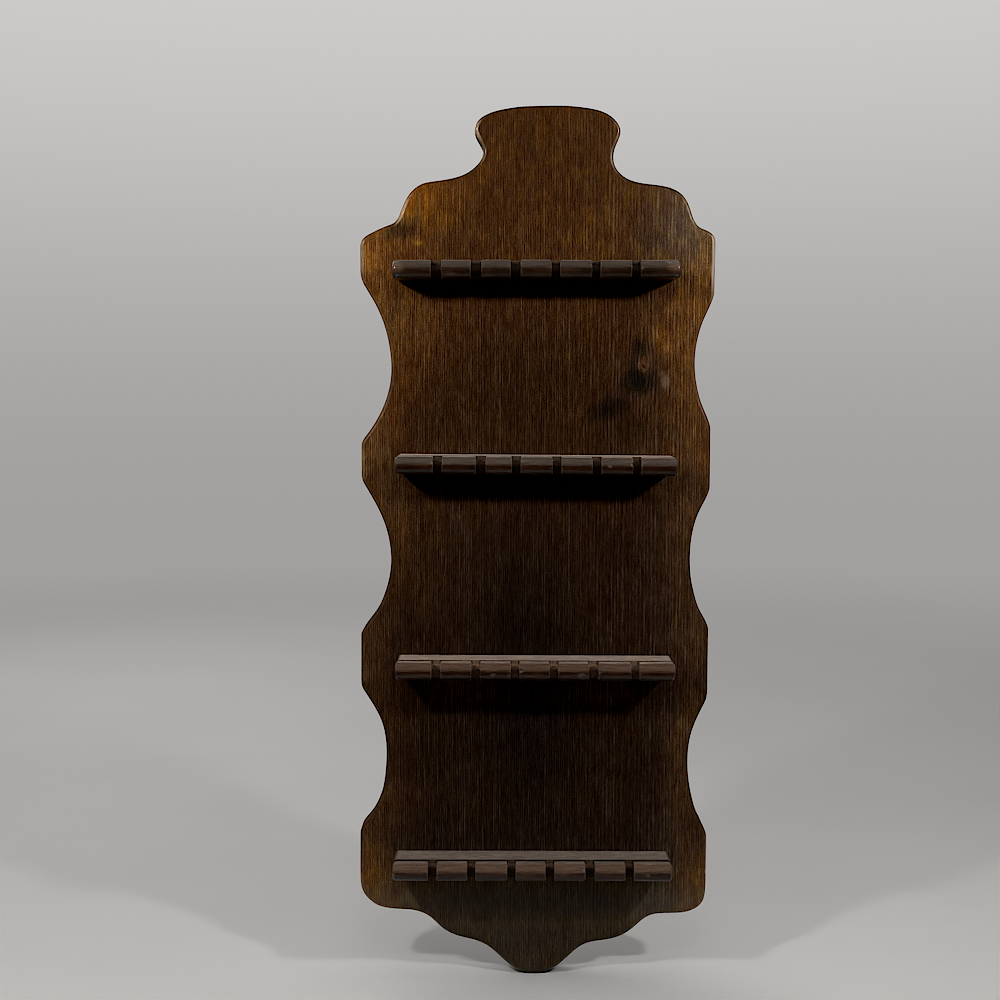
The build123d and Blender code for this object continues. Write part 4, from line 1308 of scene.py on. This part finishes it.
    # the rounded ends carry the most varnish
    tips = g.mul(g.ramp(g.m("ABSOLUTE", x), 81.5, 85.5), g.ramp(z, -160.0, -110.0))
    g.set("Coat Weight", g.add(0.38, g.mul(film, -0.28), g.mul(edge, 0.5), g.mul(tips, 0.75),
                               g.mul(g.m("SUBTRACT", patch, 0.5), 0.5)))
    g.set("Coat Roughness", g.add(0.13, g.mul(tips, 0.10)))
    height = g.add(g.mul(fibre, 0.8), g.mul(fine, 0.5), g.mul(grit, 0.25))
    g.set("Normal", g.bump(height, 0.7, 0.00020))
    return g.mat


def cut_material():
    g = Graph("rough_cut_rail")
    co = g.coords()
    x, y, z = g.xyz(co)
    nx, ny, nz = g.normal_z()
    a = g.noise(g.vec("MULTIPLY", co, (0.9, 0.9, 2.2)), 1.0, 4.0, 0.65)
    c = g.noise(g.vec("MULTIPLY", co, (0.3, 0.3, 0.3)), 1.0, 3.0, 0.6, 0.8)
    col = g.stops(g.add(g.mul(a, 0.6), g.mul(c, 0.4)), [
        (0.30, (0.0230, 0.0120, 0.0055)), (0.45, (0.0450, 0.0250, 0.0115)),
        (0.58, (0.0740, 0.0430, 0.0205)), (0.75, (0.1250, 0.0780, 0.0390))])
    # painted shade: darker in the lower half of each notch and much darker in the kerf, where little light
    # reaches these recesses
    col = g.scale(col, g.ramp(g.add(g.attr("low"), g.mul(g.m("SUBTRACT", c, 0.5), 0.3)),
                              0.40, 0.60, 1.15, 0.36))
    # painted light and shade: the cut faces are made brighter or darker rail by rail, by height
    depth = g.stops(g.ramp(z, -454.0, -79.0, kind="LINEAR"), [
        (0.0, (0.34,)), (0.16, (0.34,)), (0.26, (0.84,)), (0.45, (0.84,)), (0.62, (0.38,)),
        (1.0, (0.27,))])
    col = g.vec("MULTIPLY", g.scale(col, g.mul(depth, 3.0)), (1.0, 1.02, 1.35))
    # painted shade: the kerf much darker
    col = g.scale(col, g.ramp(g.attr("kerf"), 0.3, 0.9, 1.0, 0.20))
    # painted highlight: the upward-facing cut faces beside the kerf are paler, where light falls from above
    up = g.mul(g.ramp(nz, 0.3, 0.95, 0.0, 0.35), g.ramp(g.attr("kerf"), 0.3, 0.9, 1.0, 0.0))
    col = g.mix(up, col, (0.125, 0.088, 0.062))
    g.set("Base Color", col)
    g.set("Roughness", g.ramp(a, 0.3, 0.7, 0.88, 0.68, kind="LINEAR"))
    g.set("Specular IOR Level", 0.10)
    g.set("Normal", g.bump(g.add(a, g.mul(c, 0.6)), 0.7, 0.00025))
    return g.mat


def metal(name, colour, dark, tarnish, rough, scratch, bumps, scale=1.0):
    g = Graph(name)
    co = g.coords()
    a = g.noise(g.vec("MULTIPLY", co, (0.9 * scale,) * 3), 1.0, 4.0, 0.6)
    s = g.noise(g.vec("MULTIPLY", co, scratch), 1.0, 3.0, 0.6)
    spots = g.noise(g.vec("MULTIPLY", co, (2.6 * scale,) * 3), 1.0, 3.0, 0.65)
    col = g.mix(g.ramp(a, 0.35, 0.7), colour, dark)
    col = g.mix(g.mul(g.ramp(spots, 0.55, 0.72), 0.7), col, tarnish)
    col = g.scale(col, g.ramp(s, 0.25, 0.75, 0.85, 1.12, kind="LINEAR"))
    g.set("Base Color", col)
    g.set("Metallic", g.ramp(spots, 0.55, 0.75, 1.0, 0.55))
    g.set("Roughness", g.add(g.ramp(s, 0.25, 0.75, rough, rough + 0.16, kind="LINEAR"),
                             g.ramp(spots, 0.5, 0.75, 0.0, 0.25)))
    g.set("Normal", g.bump(g.add(s, g.mul(a, 0.5)), 0.5, bumps))
    return g.mat


plank = plank_material()
rail_finish = rail_material()
rail_cut = cut_material()

board = make_board(plank)
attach(board, "root")
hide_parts("back_board")
for number, rail in enumerate(RAILS):
    piece = make_rail(rail, 100 + 37 * number, rail_finish, rail_cut)
    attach(piece, "root")
    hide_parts(rail[0])

finishes = {
    "rail_screws": metal("dull_zinc_screw", (0.46, 0.44, 0.41), (0.30, 0.285, 0.26),
                         (0.16, 0.085, 0.045), 0.34, (1.6, 6.0, 1.6), 0.00005),
    "sawtooth_hanger": metal("yellowed_plated_strip", (0.62, 0.50, 0.27), (0.47, 0.37, 0.20),
                             (0.20, 0.12, 0.055), 0.30, (0.5, 5.0, 6.5), 0.00006),
    "hanger_nails": metal("wire_nail", (0.56, 0.54, 0.50), (0.38, 0.36, 0.33),
                          (0.21, 0.13, 0.08), 0.33, (3.0, 3.0, 3.0), 0.00005, 1.6),
}
for name, mat in finishes.items():
    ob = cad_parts[name]
    ob.data.materials.clear()
    ob.data.materials.append(mat)

# ---------------------------------------------------------------------------
# Stage, light and camera
# ---------------------------------------------------------------------------
FLOOR_Z_M = -0.5291


def stage_material(name, colour, glow, near=None):
    g = Graph(name)
    tc = g.t.nodes.new("ShaderNodeTexCoord")
    x, y, z = g.xyz(tc.outputs["Object"])
    n = g.noise(tc.outputs["Object"], 6.0, 3.0, 0.5)
    g.set("Base Color", g.mix(g.ramp(n, 0.3, 0.7), colour, tuple(c * 0.97 for c in colour)))
    g.set("Roughness", 0.9)
    g.set("Specular IOR Level", 0.1)
    if glow is not None:
        r = g.m("SQRT", g.add(g.m("POWER", x, 2.0), g.m("POWER", y, 2.0)))
        far = g.ramp(r, 0.35, 2.4)
        rise = g.ramp(z, FLOOR_Z_M, 1.2, glow[0], glow[1])
        e = g.t.nodes.new("ShaderNodeEmission")
        g.put(e.inputs["Color"], g.mix(1.0, (0, 0, 0), (1.0, 0.985, 0.97)))
        g.put(e.inputs["Strength"], rise)
        s = g.t.nodes.new("ShaderNodeMixShader")
        g.put(s.inputs[0], far)
        g.t.links.new(g.bsdf.outputs[0], s.inputs[1])
        g.t.links.new(e.outputs[0], s.inputs[2])
        g.t.links.new(s.outputs[0], g.out.inputs["Surface"])
    return g.mat


pale = stage_material("pale_stage", (0.50, 0.50, 0.505), (0.36, 0.62))


def lathe(name, profile, segments=128):
    me = bpy.data.meshes.new(name)
    verts, faces = [], []
    if profile[0][0] == 0:
        verts.append((0, 0, profile[0][1]))
        profile = profile[1:]
        centre = True
    else:
        centre = False
    base = len(verts)
    for r, z in profile:
        for k in range(segments):
            a = 2 * math.pi * k / segments
            verts.append((r * math.cos(a), r * math.sin(a), z))
    if centre:
        for k in range(segments):
            faces.append((0, base + k, base + (k + 1) % segments))
    for j in range(len(profile) - 1):
        for k in range(segments):
            a, b = base + j * segments, base + (j + 1) * segments
            k2 = (k + 1) % segments
            faces.append((a + k, b + k, b + k2, a + k2))
    me.from_pydata(verts, [], faces)
    me.materials.append(pale)
    me.shade_smooth()
    ob = bpy.data.objects.new(name, me)
    bpy.context.scene.collection.objects.link(ob)
    return ob


floor = lathe("floor", [(0, FLOOR_Z_M)] + [(r, FLOOR_Z_M) for r in (0.1, 0.2, 0.32)])
wide = lathe("floor_wide", [(r, FLOOR_Z_M) for r in (0.32, 0.5, 1.0, 1.6, 2.4)])
wide.visible_glossy = False
wide.visible_diffuse = False
cove = [(2.4, FLOOR_Z_M)]
for k in range(1, 17):
    a = math.radians(90 * k / 16)
    cove.append((2.4 + 1.1 * math.sin(a), FLOOR_Z_M + 1.1 * (1 - math.cos(a))))
cove += [(3.5, FLOOR_Z_M + 2.0), (3.5, FLOOR_Z_M + 3.4)]
backdrop = lathe("backdrop", cove)
backdrop.visible_diffuse = False
backdrop.visible_glossy = False
backdrop.visible_transmission = False
backdrop.visible_shadow = False

world = bpy.data.worlds.new("soft_room")
bpy.context.scene.world = world
world.use_nodes = True
wt = world.node_tree
wt.nodes.clear()
wo = wt.nodes.new("ShaderNodeOutputWorld")
wb = wt.nodes.new("ShaderNodeBackground")
tc = wt.nodes.new("ShaderNodeTexCoord")
sep = wt.nodes.new("ShaderNodeSeparateXYZ")
wr = wt.nodes.new("ShaderNodeMapRange")
wr.interpolation_type = "SMOOTHSTEP"
wt.links.new(tc.outputs["Generated"], sep.inputs[0])
wt.links.new(sep.outputs[2], wr.inputs[0])
for i, v in enumerate((0.30, 0.72, 0.006, 0.15)):
    wr.inputs[i + 1].default_value = v
over = wt.nodes.new("ShaderNodeMapRange")
over.interpolation_type = "SMOOTHSTEP"
wt.links.new(sep.outputs[2], over.inputs[0])
for i, v in enumerate((0.78, 0.90, 0.0, 0.9)):
    over.inputs[i + 1].default_value = v
total = wt.nodes.new("ShaderNodeMath")
total.operation = "ADD"
wt.links.new(wr.outputs[0], total.inputs[0])
wt.links.new(over.outputs[0], total.inputs[1])
wb.inputs["Color"].default_value = (1.0, 0.975, 0.94, 1.0)
wt.links.new(total.outputs[0], wb.inputs["Strength"])
wt.links.new(wb.outputs[0], wo.inputs["Surface"])


def panel(name, place, target, size, watts, colour):
    li = bpy.data.lights.new(name, "AREA")
    li.shape = "RECTANGLE"
    li.size, li.size_y = size
    li.energy = watts
    li.color = colour
    ob = bpy.data.objects.new(name, li)
    bpy.context.scene.collection.objects.link(ob)
    ob.location = place
    ob.rotation_mode = "QUATERNION"
    ob.rotation_quaternion = (Vector(target) - Vector(place)).to_track_quat("-Z", "Y")
    ob.visible_camera = False
    return ob


panel("left_panel", (-0.42, -0.48, 0.11), (0, -0.02, -0.20), (0.06, 0.06), 2.5, (1.0, 0.97, 0.93))
panel("right_panel", (0.51, -0.48, 0.11), (0, -0.02, -0.20), (0.06, 0.06), 3.0, (1.0, 0.97, 0.93))
front = panel("front_panel", (0.0, -0.95, 0.42), (0, -0.02, -0.20), (0.35, 0.35), 1.6,
              (1.0, 0.97, 0.93))
front.visible_glossy = False
panel("back_panel", (-0.75, 1.15, 0.55), (0, 0.0, -0.25), (0.9, 0.9), 9.0, (1.0, 0.98, 0.96))

cam_data = bpy.data.cameras.new("camera")
cam_data.sensor_width = 36.0
cam_data.lens = 36.0 * 1.520
cam = bpy.data.objects.new("camera", cam_data)
bpy.context.scene.collection.objects.link(cam)
cam.location = (-0.0223, -0.9753, -0.1489)
cam.rotation_euler = (math.radians(90 - 4.33), 0.0, 0.0)
bpy.context.scene.camera = cam

view = bpy.context.scene.view_settings
bpy.context.scene.display_settings.display_device = "sRGB"
view.view_transform = "Standard"
view.look = "None"
view.exposure = 0.0
view.use_curve_mapping = True
view.curve_mapping.black_level = (0.0015, 0.0015, 0.0015)
view.curve_mapping.update()

# a photograph's mild sharpening
bpy.context.scene.use_nodes = True
ct = bpy.context.scene.node_tree
ct.nodes.clear()
layers = ct.nodes.new("CompositorNodeRLayers")
crisp = ct.nodes.new("CompositorNodeFilter")
crisp.filter_type = "SHARPEN_DIAMOND"
crisp.inputs["Fac"].default_value = 0.25
picture = ct.nodes.new("CompositorNodeComposite")
ct.links.new(layers.outputs["Image"], crisp.inputs["Image"])
ct.links.new(crisp.outputs["Image"], picture.inputs["Image"])
